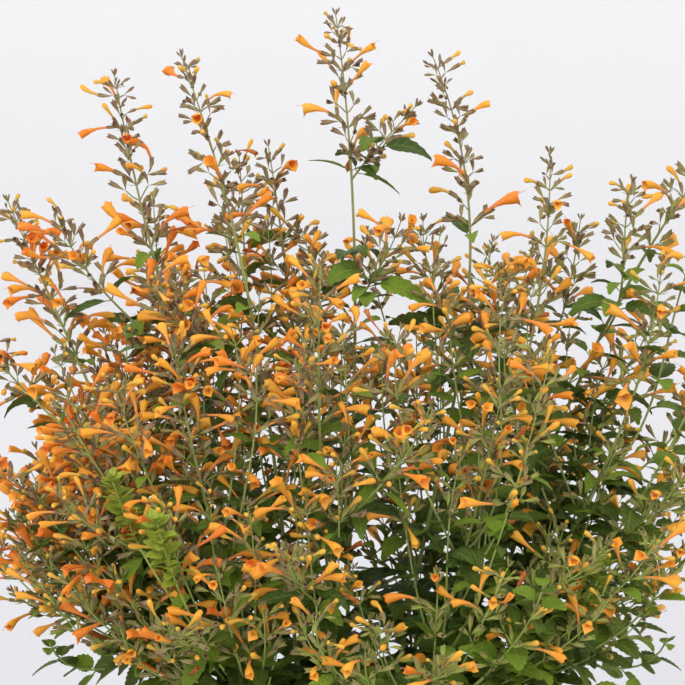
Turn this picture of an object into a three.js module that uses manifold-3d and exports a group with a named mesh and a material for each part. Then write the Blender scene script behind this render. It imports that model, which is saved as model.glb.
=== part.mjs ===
// Potted giant hyssop: a clump of square, leafy stems that end in whorled spikes of orange trumpet flowers,
// standing in soil in a plain round clay pot. Millimetres, +Z up, the front of the plant faces -Y, and the
// origin is the middle of the pot's flat base.
import * as THREE from "three";
import { mergeVertices } from "three/addons/utils/BufferGeometryUtils.js";
import Module from "manifold-3d";

const wasm = await Module();
wasm.setup();

// Pot
const POT_HEIGHT = 150;
const POT_TOP_RADIUS = 95;
const POT_FOOT_RADIUS = 67;
const POT_WALL = 6.5;
const POT_FLOOR = 9;
const RIM_HEIGHT = 27;
const RIM_STEP = 4.5;
const RIM_ROUND = 2;
const POT_SEGMENTS = 24;
const DRAIN_RADIUS = 5;
const DRAIN_CIRCLE = 32;
const DRAIN_COUNT = 3;

// Soil
const SOIL_TOP = 134;
const SOIL_CROWN = 4;
const CLEARANCE = 0.35;
const PLANTING_DEPTH = 14;
const HOLE_SIDES = 4;

// Stems, with radii measured to the corners of their square section
const STEM_RADIUS = 2;
const STEM_TOP_RADIUS = 1.15;
const SHOOT_RADIUS = 1.15;
const RACHIS_RADIUS = 0.95;
const TIP_RADIUS = 0.5;
const STEM_SECTION_STEP = 60;
const SHOOT_SECTION_STEP = 40;
const RACHIS_SECTIONS = 2;
const ROOT_SPLAY = 0.75;
const SHOOT_SPLAY = 0.8;
const ROOT_PULL = 0.42;
const SHOOT_PULL = 0.35;
const TIP_PULL = 0.34;

// Leaves
const LEAF_LENGTH = 50;
const TOP_LEAF_LENGTH = 26;
const LEAF_SLENDER = 0.16;
const LEAF_BROAD = 0.27;
const LEAF_PAIR_STEP = 50;
const FULL_PAIRS = 1;
const FIRST_LEAF_HEIGHT = 34;
const TOP_LEAF_GAP = 3;
const SHOOT_LEAF_SHARE = 0.55;
const LEAF_THICKNESS = 1.1;
const LEAF_FOLD = 0.22;
const LEAF_MIDRIB = [0.36];
// The leaf's edge from the end of the stalk to the tip: share of the length, share of the half width
const LEAF_EDGE = [
  [0.2, 0.11],
  [0.4, 1],
  [0.48, 0.8],
  [0.68, 0.82],
];

// Florets
const WHORL_STEP = 16;
const WHORL_CROWDING = 1.35;
const BUD_WHORLS = 0.74;
const FIRST_WHORL = 4;
const FLORET_FAN = 13;
const FLOWER_LENGTH = 34;
// The calyx, and the whole flower from its calyx to its lips: the run from the stem, the radius above, the
// radius below and to the sides, and how far the upper lip reaches forward
const CALYX = [{ run: 12, above: 1.9, below: 1.9 }];
const FLOWER = [
  { run: 11.5, above: 1.9, below: 1.9 },
  { run: 14.5, above: 1.05, below: 1.05 },
  { run: FLOWER_LENGTH, above: 3.2, below: 4.4, reach: 2.4 },
];

// Sprigs, the small shoots that fill the crown between the others. Their tips lie in a shell under a dome, at
// least the room apart. The sum that picks the foot of each weighs how flat it lies and how long it is.
const SPRIGS = 8;
const SPRIG_TRIES = 900;
const SPRIG_KEY = 900;
const SPRIG_ROOM = 46;
const SPRIG_SPIKE = [40, 68];
const SPRIG_RADIUS = 1;
const SPRIG_SECTIONS = 2;
const SPRIG_LEAVES = 2;
const SPRIG_SHELL = [0.66, 1];
const SIDE_CROWDING = 0.22;
const DOME = [222, 178, 300];
const DOME_ROUNDNESS = 2.6;
const DOME_FOOT = 205;
const LOWEST_TIP = 236;
const TIP_LEAN = 0.2;
const LEAN_DISTANCE = 400;
const FOOT_RANGE = [0.24, 0.66];
const FOOT_STEPS = 14;
const LEAST_RISE = 70;
const BEST_RISE = 140;
const RISE_WEIGHT = 220;
const STEEPEST = 1.9;
const LEAST_LEAFY = 40;

// How far a leaf or flower turns round its stem, in degrees, to miss what is near it
const TURNS = [0, 22, -22, 44, -44, 70];
const CLEAR_OF_OTHERS = 0.6;

const SEED = 7;
const UP = new THREE.Vector3(0, 0, 1);
const BACK = new THREE.Vector3(0, 1, 0);

// Every stem: where it leaves the soil, the tip of its top spike, the lean of that tip for each unit of
// rise, the length of the spike, and the same facts of its side shoots. A shoot leaves the stem at `up`, a
// share of the stem's length.
const STEMS = [
  {
    root: [2, 8], tip: [-4, 0, 610], lean: [-0.14, 0], spike: 90,
    shoots: [
      { up: 0.8, tip: [43, -8, 556], lean: [0.9, -0.1], spike: 50 },
      { up: 0.64, tip: [34, -38, 490], lean: [0.3, -0.3], spike: 54 },
      { up: 0.62, tip: [-27, 32, 486], lean: [-0.25, 0.25], spike: 54 },
    ],
  },
  {
    root: [-30, 8], tip: [-135, -4, 574], lean: [-0.17, 0], spike: 108,
    shoots: [
      { up: 0.62, tip: [-167, -34, 494], lean: [-0.3, -0.2], spike: 60 },
      { up: 0.6, tip: [-116, 46, 494], lean: [-0.1, 0.3], spike: 62 },
    ],
  },
  {
    root: [-15, -8], tip: [-94, -22, 585], lean: [-0.36, 0], spike: 110,
    shoots: [
      { up: 0.62, tip: [-64, 62, 524], lean: [-0.1, 0.25], spike: 64 },
      { up: 0.58, tip: [-112, -72, 462], lean: [-0.2, -0.4], spike: 66 },
    ],
  },
  {
    root: [24, 2], tip: [54, 6, 585], lean: [-0.42, 0], spike: 108,
    shoots: [
      { up: 0.6, tip: [94, -28, 462], lean: [0.2, -0.15], spike: 58 },
      { up: 0.6, tip: [50, 66, 484], lean: [0.05, 0.3], spike: 64 },
    ],
  },
  {
    root: [38, -12], tip: [123, -8, 528], lean: [-0.02, -0.02], spike: 100,
    shoots: [
      { up: 0.6, tip: [146, 44, 486], lean: [0.15, 0.3], spike: 60 },
      { up: 0.5, tip: [112, -82, 420], lean: [0.1, -0.4], spike: 64 },
    ],
  },
  {
    root: [50, 12], tip: [224, 8, 530], lean: [0.75, 0], spike: 74,
    shoots: [
      { up: 0.7, tip: [170, -24, 512], lean: [0.25, -0.2], spike: 56 },
      { up: 0.52, tip: [196, 62, 430], lean: [0.4, 0.4], spike: 62 },
    ],
  },
  {
    root: [-6, 30], tip: [-45, 34, 531], lean: [-0.16, 0.1], spike: 84,
    shoots: [{ up: 0.5, tip: [-28, 128, 452], lean: [0, 0.5], spike: 68 }],
  },
  {
    root: [-52, -6], tip: [-198, -12, 500], lean: [-0.42, 0], spike: 104,
    shoots: [
      { up: 0.55, tip: [-226, 26, 428], lean: [-0.5, 0.1], spike: 66 },
      { up: 0.42, tip: [-208, -64, 356], lean: [-0.6, -0.2], spike: 66 },
      { up: 0.3, tip: [-196, -24, 268], lean: [-0.8, -0.1], spike: 60 },
    ],
  },
  {
    root: [54, -22], tip: [186, -40, 466], lean: [0.05, -0.1], spike: 88,
    shoots: [
      { up: 0.56, tip: [224, 0, 400], lean: [0.4, 0.1], spike: 64 },
      { up: 0.44, tip: [196, -92, 352], lean: [0.5, -0.4], spike: 66 },
      { up: 0.3, tip: [206, -30, 292], lean: [0.9, 0], spike: 60 },
    ],
  },
  {
    root: [-32, -30], tip: [-94, -116, 428], lean: [-0.1, -0.35], spike: 96,
    shoots: [
      { up: 0.5, tip: [-158, -124, 344], lean: [-0.5, -0.4], spike: 66 },
      { up: 0.36, tip: [-96, -168, 280], lean: [-0.3, -0.8], spike: 64 },
    ],
  },
  {
    root: [0, -36], tip: [-12, -112, 470], lean: [0.05, -0.2], spike: 100,
    shoots: [
      { up: 0.52, tip: [48, -146, 396], lean: [0.25, -0.4], spike: 66 },
      { up: 0.38, tip: [-30, -176, 322], lean: [-0.1, -0.7], spike: 66 },
    ],
  },
  {
    root: [30, -40], tip: [88, -122, 398], lean: [0.15, -0.35], spike: 96,
    shoots: [
      { up: 0.46, tip: [146, -134, 316], lean: [0.5, -0.5], spike: 64 },
      { up: 0.34, tip: [54, -182, 262], lean: [0.2, -0.9], spike: 62 },
    ],
  },
  {
    root: [-34, 38], tip: [-124, 112, 456], lean: [-0.3, 0.3], spike: 92,
    shoots: [
      { up: 0.5, tip: [-182, 96, 364], lean: [-0.6, 0.4], spike: 66 },
      { up: 0.38, tip: [-84, 172, 334], lean: [-0.2, 0.7], spike: 66 },
    ],
  },
  {
    root: [30, 42], tip: [96, 112, 468], lean: [0.2, 0.3], spike: 94,
    shoots: [
      { up: 0.52, tip: [42, 168, 378], lean: [0.1, 0.6], spike: 66 },
      { up: 0.4, tip: [166, 132, 340], lean: [0.6, 0.5], spike: 66 },
    ],
  },
];

const leafGreen = new THREE.MeshStandardMaterial({ color: 0x4d7a2a, roughness: 0.6 });
const flowerOrange = new THREE.MeshStandardMaterial({ color: 0xf2932c, roughness: 0.55 });
const firedClay = new THREE.MeshStandardMaterial({ color: 0xb4613c, roughness: 0.85 });
const pottingSoil = new THREE.MeshStandardMaterial({ color: 0x3a2a1e, roughness: 1 });

// A repeatable number from 0 up to 1 for the thing that the keys name.
function draw(...keys) {
  let h = SEED;
  for (const key of keys) {
    h = Math.imul(h ^ (key + 1), 0x9e3779b1);
    h ^= h >>> 15;
    h = Math.imul(h, 0x85ebca77);
    h ^= h >>> 13;
  }
  return (h >>> 0) / 2 ** 32;
}

const between = (low, high, ...keys) => low + (high - low) * draw(...keys);
const radians = THREE.MathUtils.degToRad;
const mix = THREE.MathUtils.lerp;

// A closed geometry as a solid for joining and cutting.
function solidOf(geometry) {
  const bare = new THREE.BufferGeometry();
  bare.setAttribute("position", geometry.getAttribute("position"));
  bare.setIndex(geometry.index);
  const merged = mergeVertices(bare, 1e-4);
  return new wasm.Manifold(
    new wasm.Mesh({
      numProp: 3,
      vertProperties: new Float32Array(merged.attributes.position.array),
      triVerts: new Uint32Array(merged.index.array),
    }),
  );
}

// A solid as a named mesh.
function meshOf(name, solid, material) {
  const { vertProperties, triVerts } = solid.getMesh();
  const geometry = new THREE.BufferGeometry();
  geometry.setAttribute("position", new THREE.BufferAttribute(vertProperties, 3));
  geometry.setIndex(new THREE.BufferAttribute(triVerts, 1));
  geometry.computeVertexNormals();
  const mesh = new THREE.Mesh(geometry, material);
  mesh.name = name;
  return mesh;
}

// A closed skin over rings of points. A ring of one point is a tip, and other open ends are capped flat.
function loft(rings) {
  const points = [];
  const faces = [];
  const starts = rings.map((ring) => {
    const start = points.length;
    points.push(...ring);
    return start;
  });
  const cap = (start, count, flip) => {
    for (let i = 1; i < count - 1; i++) {
      faces.push(flip ? [start, start + i + 1, start + i] : [start, start + i, start + i + 1]);
    }
  };
  for (let r = 0; r + 1 < rings.length; r++) {
    const [a, b] = [rings[r].length, rings[r + 1].length];
    const sides = Math.max(a, b);
    for (let i = 0; i < sides; i++) {
      const next = (i + 1) % sides;
      if (a > 1) faces.push([starts[r] + i, starts[r] + next, starts[r + 1] + (b > 1 ? next : 0)]);
      if (b > 1) faces.push([starts[r] + (a > 1 ? i : 0), starts[r + 1] + next, starts[r + 1] + i]);
    }
  }
  cap(starts[0], rings[0].length, true);
  cap(starts.at(-1), rings.at(-1).length, false);
  const geometry = new THREE.BufferGeometry().setFromPoints(points);
  geometry.setIndex(faces.flat());
  return geometry;
}

// The curve of a stem or shoot from its foot to the tip of its spike.
function curveTo(foot, firstWay, { tip, lean }, pull) {
  const end = new THREE.Vector3(...tip);
  const lastWay = new THREE.Vector3(lean[0], lean[1], 1).normalize();
  const reach = foot.distanceTo(end);
  return new THREE.CubicBezierCurve3(
    foot,
    foot.clone().addScaledVector(firstWay, reach * pull),
    end.clone().addScaledVector(lastWay, -reach * TIP_PULL),
    end,
  );
}

// The centre line of a faceted stem, straight between sections at the given distances along its curve.
class CentreLine {
  constructor(curve, sections) {
    this.curve = curve;
    this.sections = sections;
    this.length = curve.getLength();
  }

  onCurve(distance) {
    return this.curve.getPointAt(THREE.MathUtils.clamp(distance / this.length, 0, 1));
  }

  // The place, the way forward and the two side ways at a distance.
  frame(distance) {
    const next = this.sections.findIndex((section, i) => i > 0 && section >= distance);
    const [low, high] = [this.sections.at(next - 1), this.sections.at(next)];
    const at = this.onCurve(low).lerp(this.onCurve(high), (distance - low) / (high - low));
    const way = this.curve.getTangentAt(THREE.MathUtils.clamp(distance / this.length, 0, 1));
    const side = BACK.clone().cross(way).normalize();
    return { at, way, side, back: way.clone().cross(side) };
  }
}

const outward = ({ side, back }, angle) =>
  side.clone().multiplyScalar(Math.cos(angle)).addScaledVector(back, Math.sin(angle));

// A square stem through a run of sections of a centre line.
function stemSolid(line, sections, fromRadius, toRadius) {
  const [from, to] = [sections[0], sections.at(-1)];
  const rings = sections.map((distance) => {
    const frame = line.frame(distance);
    const radius = mix(fromRadius, toRadius, (distance - from) / (to - from));
    return [45, 135, 225, 315].map((corner) =>
      outward(frame, radians(corner)).multiplyScalar(radius).add(frame.at),
    );
  });
  return solidOf(loft(rings));
}

// Evenly spread distances from one to another.
const spread = (from, to, count) => Array.from({ length: count + 1 }, (_, i) => mix(from, to, i / count));

// A stalk that leaves a stem along `first` and has turned to `last` at its end.
function bend(at, first, last, length) {
  const turn = Math.max(first.angleTo(last), 0.02);
  const across = last.clone().addScaledVector(first, -first.dot(last)).normalize();
  const curl = turn / length;
  return {
    point: (run) =>
      at
        .clone()
        .addScaledVector(first, Math.sin(curl * run) / curl)
        .addScaledVector(across, (1 - Math.cos(curl * run)) / curl),
    way: (run) =>
      first
        .clone()
        .multiplyScalar(Math.cos(curl * run))
        .addScaledVector(across, Math.sin(curl * run)),
  };
}

// The level direction that a leaf or flower on this side of a stem faces.
function levelWay(frame, out) {
  return out.clone().addScaledVector(frame.way, 0.5).setZ(0).normalize();
}

// The upper side and the cross direction of a stalk at a point.
function bladeFrame(frame, way) {
  const up = frame.way.clone().addScaledVector(UP, 0.8);
  const over = up.addScaledVector(way, -up.dot(way)).normalize();
  return { over, across: over.clone().cross(way) };
}

// The stalk of a leaf or floret: it starts `rise` degrees off the stem and ends `tilt` degrees above level.
function stalkOn(frame, angle, rise, tilt, length) {
  const out = outward(frame, angle);
  const first = frame.way
    .clone()
    .multiplyScalar(Math.cos(radians(rise)))
    .addScaledVector(out, Math.sin(radians(rise)));
  const last = levelWay(frame, out)
    .multiplyScalar(Math.cos(radians(tilt)))
    .addScaledVector(UP, Math.sin(radians(tilt)));
  return bend(frame.at, first, last, length);
}

// A toothed leaf, thickest along its midrib, with both halves raised like a shallow V.
function leafSolid(frame, angle, { length, halfWidth, rise, droop }) {
  const stalk = stalkOn(frame, angle, rise, -droop, length);
  const placed = (share, sideways, lift) => {
    const run = share * length;
    const { over, across } = bladeFrame(frame, stalk.way(run));
    return stalk
      .point(run)
      .addScaledVector(across, sideways)
      .addScaledVector(over, Math.abs(sideways) * LEAF_FOLD + lift);
  };
  const points = [placed(0, 0, 0), placed(1, 0, 0)];
  const add = (point) => points.push(point) - 1;
  const edges = [1, -1].map((hand) =>
    LEAF_EDGE.map(([share, wide]) => ({
      share,
      index: add(placed(share, hand * wide * halfWidth, 0)),
    })),
  );
  const ribs = [1, -1].map((hand) =>
    LEAF_MIDRIB.map((share) => ({
      share,
      index: add(placed(share, 0, (hand * LEAF_THICKNESS) / 2)),
    })),
  );
  const ends = [{ share: 0, index: 0 }, { share: 1, index: 1 }];
  const faces = [];
  ribs.forEach((rib, under) => {
    edges.forEach((edge, left) => {
      const inner = [ends[0], ...rib, ends[1]];
      const outer = [ends[0], ...edge, ends[1]];
      let [i, o] = [0, 0];
      while (i + 1 < inner.length || o + 1 < outer.length) {
        const [nextIn, nextOut] = [inner[i + 1], outer[o + 1]];
        const alongEdge = nextIn === undefined || nextOut?.share <= nextIn.share;
        const face = [inner[i].index, outer[o].index, (alongEdge ? nextOut : nextIn).index];
        if (new Set(face).size === 3) faces.push(under === left ? face.reverse() : face);
        if (alongEdge) o++;
        else i++;
      }
    });
  });
  const geometry = new THREE.BufferGeometry().setFromPoints(points);
  geometry.setIndex(faces.flat());
  return solidOf(geometry);
}

// A floret as a three-sided tube, with one corner of each ring above. It starts from a point on the stem.
function floretSolid(frame, angle, { size, rise, tilt }, tube) {
  const stalk = stalkOn(frame, angle, rise, tilt, FLOWER_LENGTH * size);
  const rings = tube.map(({ run, above, below, reach = 0 }) => {
    const way = stalk.way(run * size);
    const { over, across } = bladeFrame(frame, way);
    return [90, 210, 330].map((corner, i) => {
      const radius = (i === 0 ? above : below) * size;
      return stalk
        .point(run * size)
        .addScaledVector(across, Math.cos(radians(corner)) * radius)
        .addScaledVector(over, Math.sin(radians(corner)) * radius)
        .addScaledVector(way, i === 0 ? reach * size : 0);
    });
  });
  return solidOf(loft([[stalk.point(0)], ...rings]));
}

// Everything placed so far, so that later leaves and flowers can keep clear of it.
const placed = [];

function boxOf(solid) {
  const { min, max } = solid.boundingBox();
  return new THREE.Box3(new THREE.Vector3(...min), new THREE.Vector3(...max)).expandByScalar(CLEAR_OF_OTHERS);
}

function keep(node, knot, solid) {
  placed.push({ node, knot, solid, box: boxOf(solid) });
  return solid;
}

function isClear(node, knot, solid) {
  const box = boxOf(solid);
  return !placed.some(
    (other) =>
      (other.node !== node || (other.knot !== null && other.knot !== knot)) &&
      other.box.intersectsBox(box) &&
      other.solid.minGap(solid, CLEAR_OF_OTHERS) < CLEAR_OF_OTHERS,
  );
}

// Puts a leaf or floret where it is clear of the rest, turned round the stem if need be, or leaves it out.
function placeClear(node, knot, make, solids) {
  for (const turn of TURNS) {
    const solid = make(radians(turn));
    if (isClear(node, knot, solid)) {
      solids.push(keep(node, knot, solid));
      return;
    }
  }
}

// A stem or shoot with the names of its two nodes: the leafy part, and the spike that carries on from it.
function growth(facts, curve, main, number, stemNode, spikeNode) {
  const length = curve.getLength();
  const end = length - facts.spike;
  const step = main ? STEM_SECTION_STEP : SHOOT_SECTION_STEP;
  const leafy = spread(0, end - CLEARANCE / 2, Math.max(2, Math.round(end / step)));
  const flowering = spread(end + CLEARANCE / 2, length, RACHIS_SECTIONS);
  const line = new CentreLine(curve, [...leafy, ...flowering]);
  return { ...facts, line, leafy, flowering, end, main, number, stemNode, spikeNode };
}

// The curve of a side shoot that leaves a stem at `up`, a share of the stem's length.
function shootCurve(main, shoot) {
  const start = main.line.frame(shoot.up * main.line.length);
  const towards = new THREE.Vector3(...shoot.tip).sub(start.at).setZ(0).normalize();
  const way = start.way.clone().addScaledVector(towards, SHOOT_SPLAY).normalize();
  return curveTo(start.at, way, shoot, SHOOT_PULL);
}

function plantGrowths() {
  const growths = [];
  STEMS.forEach((stem, s) => {
    const label = String(s + 1).padStart(2, "0");
    const foot = new THREE.Vector3(...stem.root, SOIL_TOP - PLANTING_DEPTH);
    const rise = stem.tip[2] - SOIL_TOP;
    const splay = new THREE.Vector3(stem.tip[0] - stem.root[0], stem.tip[1] - stem.root[1], 0);
    const firstWay = splay.multiplyScalar(ROOT_SPLAY / rise).add(UP).normalize();
    const curve = curveTo(foot, firstWay, stem, ROOT_PULL);
    const main = growth(stem, curve, true, growths.length, `stem_${label}`, `spike_${label}`);
    growths.push(main);
    stem.shoots.forEach((shoot, i) => {
      const spikeNode = `spike_${label}${"abc"[i]}`;
      const curve = shootCurve(main, shoot);
      growths.push(growth(shoot, curve, false, growths.length, `stem_${label}`, spikeNode));
    });
  });
  return growths;
}

const growths = plantGrowths();

// The pot's section, from the middle of its floor round the outside and down the inside.
function potSolid() {
  const inner = POT_TOP_RADIUS - RIM_STEP - POT_WALL;
  const innerFoot = POT_FOOT_RADIUS - POT_WALL;
  const band = POT_HEIGHT - RIM_HEIGHT;
  const bodyTop = POT_TOP_RADIUS - RIM_STEP - 2;
  const profile = [
    [0, 0],
    [POT_FOOT_RADIUS - RIM_ROUND, 0],
    [POT_FOOT_RADIUS, RIM_ROUND],
    [bodyTop, band],
    [POT_TOP_RADIUS - 2, band + 1],
    [POT_TOP_RADIUS, POT_HEIGHT - RIM_ROUND],
    [POT_TOP_RADIUS - RIM_ROUND, POT_HEIGHT],
    [inner, POT_HEIGHT],
    [innerFoot, POT_FLOOR],
    [0, POT_FLOOR],
  ].map(([x, y]) => new THREE.Vector2(x, y));
  const body = new THREE.LatheGeometry(profile, POT_SEGMENTS).rotateX(Math.PI / 2);
  let pot = solidOf(body);
  for (let i = 0; i < DRAIN_COUNT; i++) {
    const angle = (2 * Math.PI * i) / DRAIN_COUNT + Math.PI / 6;
    const drain = new THREE.CylinderGeometry(DRAIN_RADIUS, DRAIN_RADIUS, POT_FLOOR * 3, 12)
      .rotateX(Math.PI / 2)
      .translate(DRAIN_CIRCLE * Math.cos(angle), DRAIN_CIRCLE * Math.sin(angle), 0);
    pot = pot.subtract(solidOf(drain));
  }
  return pot;
}

// The pot's inner radius at a height.
function innerRadius(height) {
  const top = POT_TOP_RADIUS - RIM_STEP - POT_WALL;
  const share = (height - POT_FLOOR) / (POT_HEIGHT - POT_FLOOR);
  return mix(POT_FOOT_RADIUS - POT_WALL, top, share);
}

// Soil that fills the pot, with a plain hole for each stem.
function soilSolid() {
  const floor = POT_FLOOR + CLEARANCE;
  const edge = SOIL_TOP - SOIL_CROWN;
  const profile = [
    [0, floor],
    [innerRadius(floor) - 2 * CLEARANCE, floor],
    [innerRadius(edge) - 2 * CLEARANCE, edge],
    [0, SOIL_TOP],
  ].map(([x, y]) => new THREE.Vector2(x, y));
  let soil = solidOf(new THREE.LatheGeometry(profile, POT_SEGMENTS).rotateX(Math.PI / 2));
  const reach = PLANTING_DEPTH * 3;
  const width = (STEM_RADIUS + CLEARANCE) / Math.cos(Math.PI / HOLE_SIDES);
  for (const it of growths.filter(({ main }) => main)) {
    const { at, way } = it.line.frame(0);
    const hole = new THREE.CylinderGeometry(width, width, reach, HOLE_SIDES)
      .translate(0, reach / 2 - CLEARANCE, 0)
      .applyQuaternion(new THREE.Quaternion().setFromUnitVectors(BACK, way))
      .translate(at.x, at.y, at.z);
    soil = soil.subtract(solidOf(hole));
  }
  return soil;
}

const solidsOf = new Map();
const listOf = (node) => solidsOf.get(node) ?? solidsOf.set(node, []).get(node);

// The pot, the soil, the stems and the rachises come first, because nothing else may cross them.
listOf("pot").push(keep("pot", null, potSolid()));
listOf("soil").push(keep("soil", null, soilSolid()));
for (const it of growths) {
  const [low, top] = it.main ? [STEM_RADIUS, STEM_TOP_RADIUS] : [SHOOT_RADIUS, RACHIS_RADIUS];
  const stem = stemSolid(it.line, it.leafy, low, top);
  const rachis = stemSolid(it.line, it.flowering, top, TIP_RADIUS);
  listOf(it.stemNode).push(keep(it.stemNode, null, stem));
  listOf(it.spikeNode).push(keep(it.spikeNode, null, rachis));
}

// The tip, lean and spike length of the sprig that a draw tries.
function sprigFacts(i) {
  const around = between(0, 2 * Math.PI, SPRIG_KEY, i, 1);
  const turn = around - SIDE_CROWDING * Math.sin(2 * around);
  const height = between(0.02, 1, SPRIG_KEY, i, 2);
  const flat = Math.sqrt(1 - height ** 2);
  const way = [flat * Math.cos(turn), flat * Math.sin(turn), height];
  const powers = way.map((part, axis) => (Math.abs(part) / DOME[axis]) ** DOME_ROUNDNESS);
  const surface = (powers[0] + powers[1] + powers[2]) ** (-1 / DOME_ROUNDNESS);
  const reach = surface * between(...SPRIG_SHELL, SPRIG_KEY, i, 3);
  const tip = [way[0] * reach, way[1] * reach, way[2] * reach + DOME_FOOT];
  const lean = [0, 1].map(
    (axis) => tip[axis] / LEAN_DISTANCE + between(-TIP_LEAN, TIP_LEAN, SPRIG_KEY, i, 4 + axis),
  );
  return { tip, lean, spike: between(...SPRIG_SPIKE, SPRIG_KEY, i, 6) };
}

// The stem, and the place along it, from which a sprig rises to its tip by the easiest curve.
function bestFoot(mains, tip) {
  let best = { cost: Infinity };
  for (const main of mains) {
    for (const up of spread(...FOOT_RANGE, FOOT_STEPS)) {
      const place = main.line.onCurve(up * main.line.length);
      const rise = tip[2] - place.z;
      const steep = Math.hypot(tip[0] - place.x, tip[1] - place.y) / rise;
      const cost = steep + Math.abs(rise - BEST_RISE) / RISE_WEIGHT;
      if (rise >= LEAST_RISE && cost < best.cost) best = { cost, main, up };
    }
  }
  return best;
}

const spikePlaces = (line, spike) => spread(line.length - spike, line.length, 3).map((d) => line.onCurve(d));

// Sprigs that are clear of the stems. Each is fused to its stem, with its flowers.
function sprigGrowths() {
  const mains = growths.filter(({ main }) => main);
  const taken = growths.flatMap(({ line, spike }) => spikePlaces(line, spike));
  const found = [];
  for (let i = 0; i < SPRIG_TRIES && found.length < SPRIGS; i++) {
    const facts = sprigFacts(i);
    const { cost, main, up } = bestFoot(mains, facts.tip);
    if (facts.tip[2] < LOWEST_TIP || cost > STEEPEST) continue;
    const curve = shootCurve(main, { ...facts, up });
    const end = curve.getLength() - facts.spike;
    if (end < LEAST_LEAFY) continue;
    const line = new CentreLine(curve, [...spread(0, end, SPRIG_SECTIONS), curve.getLength()]);
    const places = spikePlaces(line, facts.spike);
    if (places.some((place) => taken.some((other) => place.distanceTo(other) < SPRIG_ROOM))) continue;
    const solid = stemSolid(line, line.sections, SPRIG_RADIUS, TIP_RADIUS);
    if (!isClear(main.stemNode, null, solid)) continue;
    taken.push(...places);
    listOf(main.stemNode).push(keep(main.stemNode, null, solid));
    const number = growths.length + found.length;
    found.push({ ...facts, line, end, main: false, number, stemNode: main.stemNode, sprig: true });
  }
  return found;
}

const sprigs = sprigGrowths();

// The whorls of a spike: two opposite tufts at each, crossed at right angles to those of the next.
function whorlsOf(it) {
  const count = Math.round(it.spike / WHORL_STEP);
  return Array.from({ length: count }, (_, j) => ({
    index: j,
    distance: it.end + FIRST_WHORL + (it.spike - FIRST_WHORL) * (1 - (1 - j / count) ** WHORL_CROWDING),
    angle: radians(between(0, 90, it.number, 1) + 90 * j),
    share: j / count,
    vigour: mix(1, 0.72, j / count),
  }));
}

// A floret on one of the two sides of a whorl, at a place in that side's fan.
function floretFacts(it, whorl, side, fan) {
  const keys = [it.number, whorl.index, side, fan];
  return {
    size: whorl.vigour * between(0.88, 1.08, ...keys, 1),
    rise: between(22, 52, ...keys, 2),
    tilt: between(-34, 36, ...keys, 3),
    angle: whorl.angle + Math.PI * side + radians(fan + between(-7, 7, ...keys, 4)),
  };
}

for (const it of [...growths, ...sprigs]) {
  const node = it.sprig ? it.stemNode : it.spikeNode;
  for (const whorl of whorlsOf(it)) {
    const frame = it.line.frame(whorl.distance);
    const flower = whorl.share < BUD_WHORLS ? FLOWER : CALYX;
    (it.sprig ? [flower] : [flower, CALYX]).forEach((tube, side) => {
      const facts = floretFacts(it, whorl, side, side ? FLORET_FAN : -FLORET_FAN);
      const make = (turn) => floretSolid(frame, facts.angle + turn, facts, tube);
      placeClear(node, `${it.number} whorl ${whorl.index}`, make, listOf(node));
    });
  }
}

// The leaf pairs of a stem or shoot. Those low on the stem are larger and broader.
function leafPairsOf(it) {
  const first = it.main ? FIRST_LEAF_HEIGHT : LEAF_PAIR_STEP / 2;
  const last = it.end - TOP_LEAF_GAP;
  const count = it.sprig ? SPRIG_LEAVES - 1 : Math.max(1, Math.round((last - first) / LEAF_PAIR_STEP));
  return Array.from({ length: count + 1 }, (_, i) => ({
    index: i,
    distance: mix(first, last, i / count),
    share: mix(it.main ? 0 : SHOOT_LEAF_SHARE, 1, i / (count + 1)),
    angle: radians(between(0, 90, it.number, 2) + 90 * i),
  }));
}

function leafFacts(it, pair, side) {
  const keys = [it.number, pair.index, side, 50];
  const length = mix(LEAF_LENGTH, TOP_LEAF_LENGTH, pair.share) * between(0.85, 1.12, ...keys, 1);
  return {
    length,
    halfWidth: length * mix(LEAF_BROAD, LEAF_SLENDER, pair.share) * between(0.9, 1.1, ...keys, 2),
    rise: between(42, 62, ...keys, 3),
    droop: between(0, 66, ...keys, 4),
    angle: pair.angle + Math.PI * side + radians(between(-12, 12, ...keys, 5)),
  };
}

for (const it of [...growths, ...sprigs]) {
  for (const pair of leafPairsOf(it)) {
    const frame = it.line.frame(pair.distance);
    const radial = frame.at.clone().setZ(0);
    const outer = outward(frame, pair.angle).dot(radial) >= 0 ? 0 : 1;
    const sides = it.main && pair.index < FULL_PAIRS ? [outer, 1 - outer] : [outer];
    for (const side of sides) {
      const facts = leafFacts(it, pair, side);
      const make = (turn) => leafSolid(frame, facts.angle + turn, facts);
      placeClear(it.stemNode, `${it.number} ${pair.index}`, make, listOf(it.stemNode));
    }
  }
}

const materialOf = { pot: firedClay, soil: pottingSoil, stem: leafGreen, spike: flowerOrange };

const plant = new THREE.Group();
for (const [node, solids] of solidsOf) {
  plant.add(meshOf(node, wasm.Manifold.union(solids), materialOf[node.split("_")[0]]));
}

export default plant;
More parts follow.
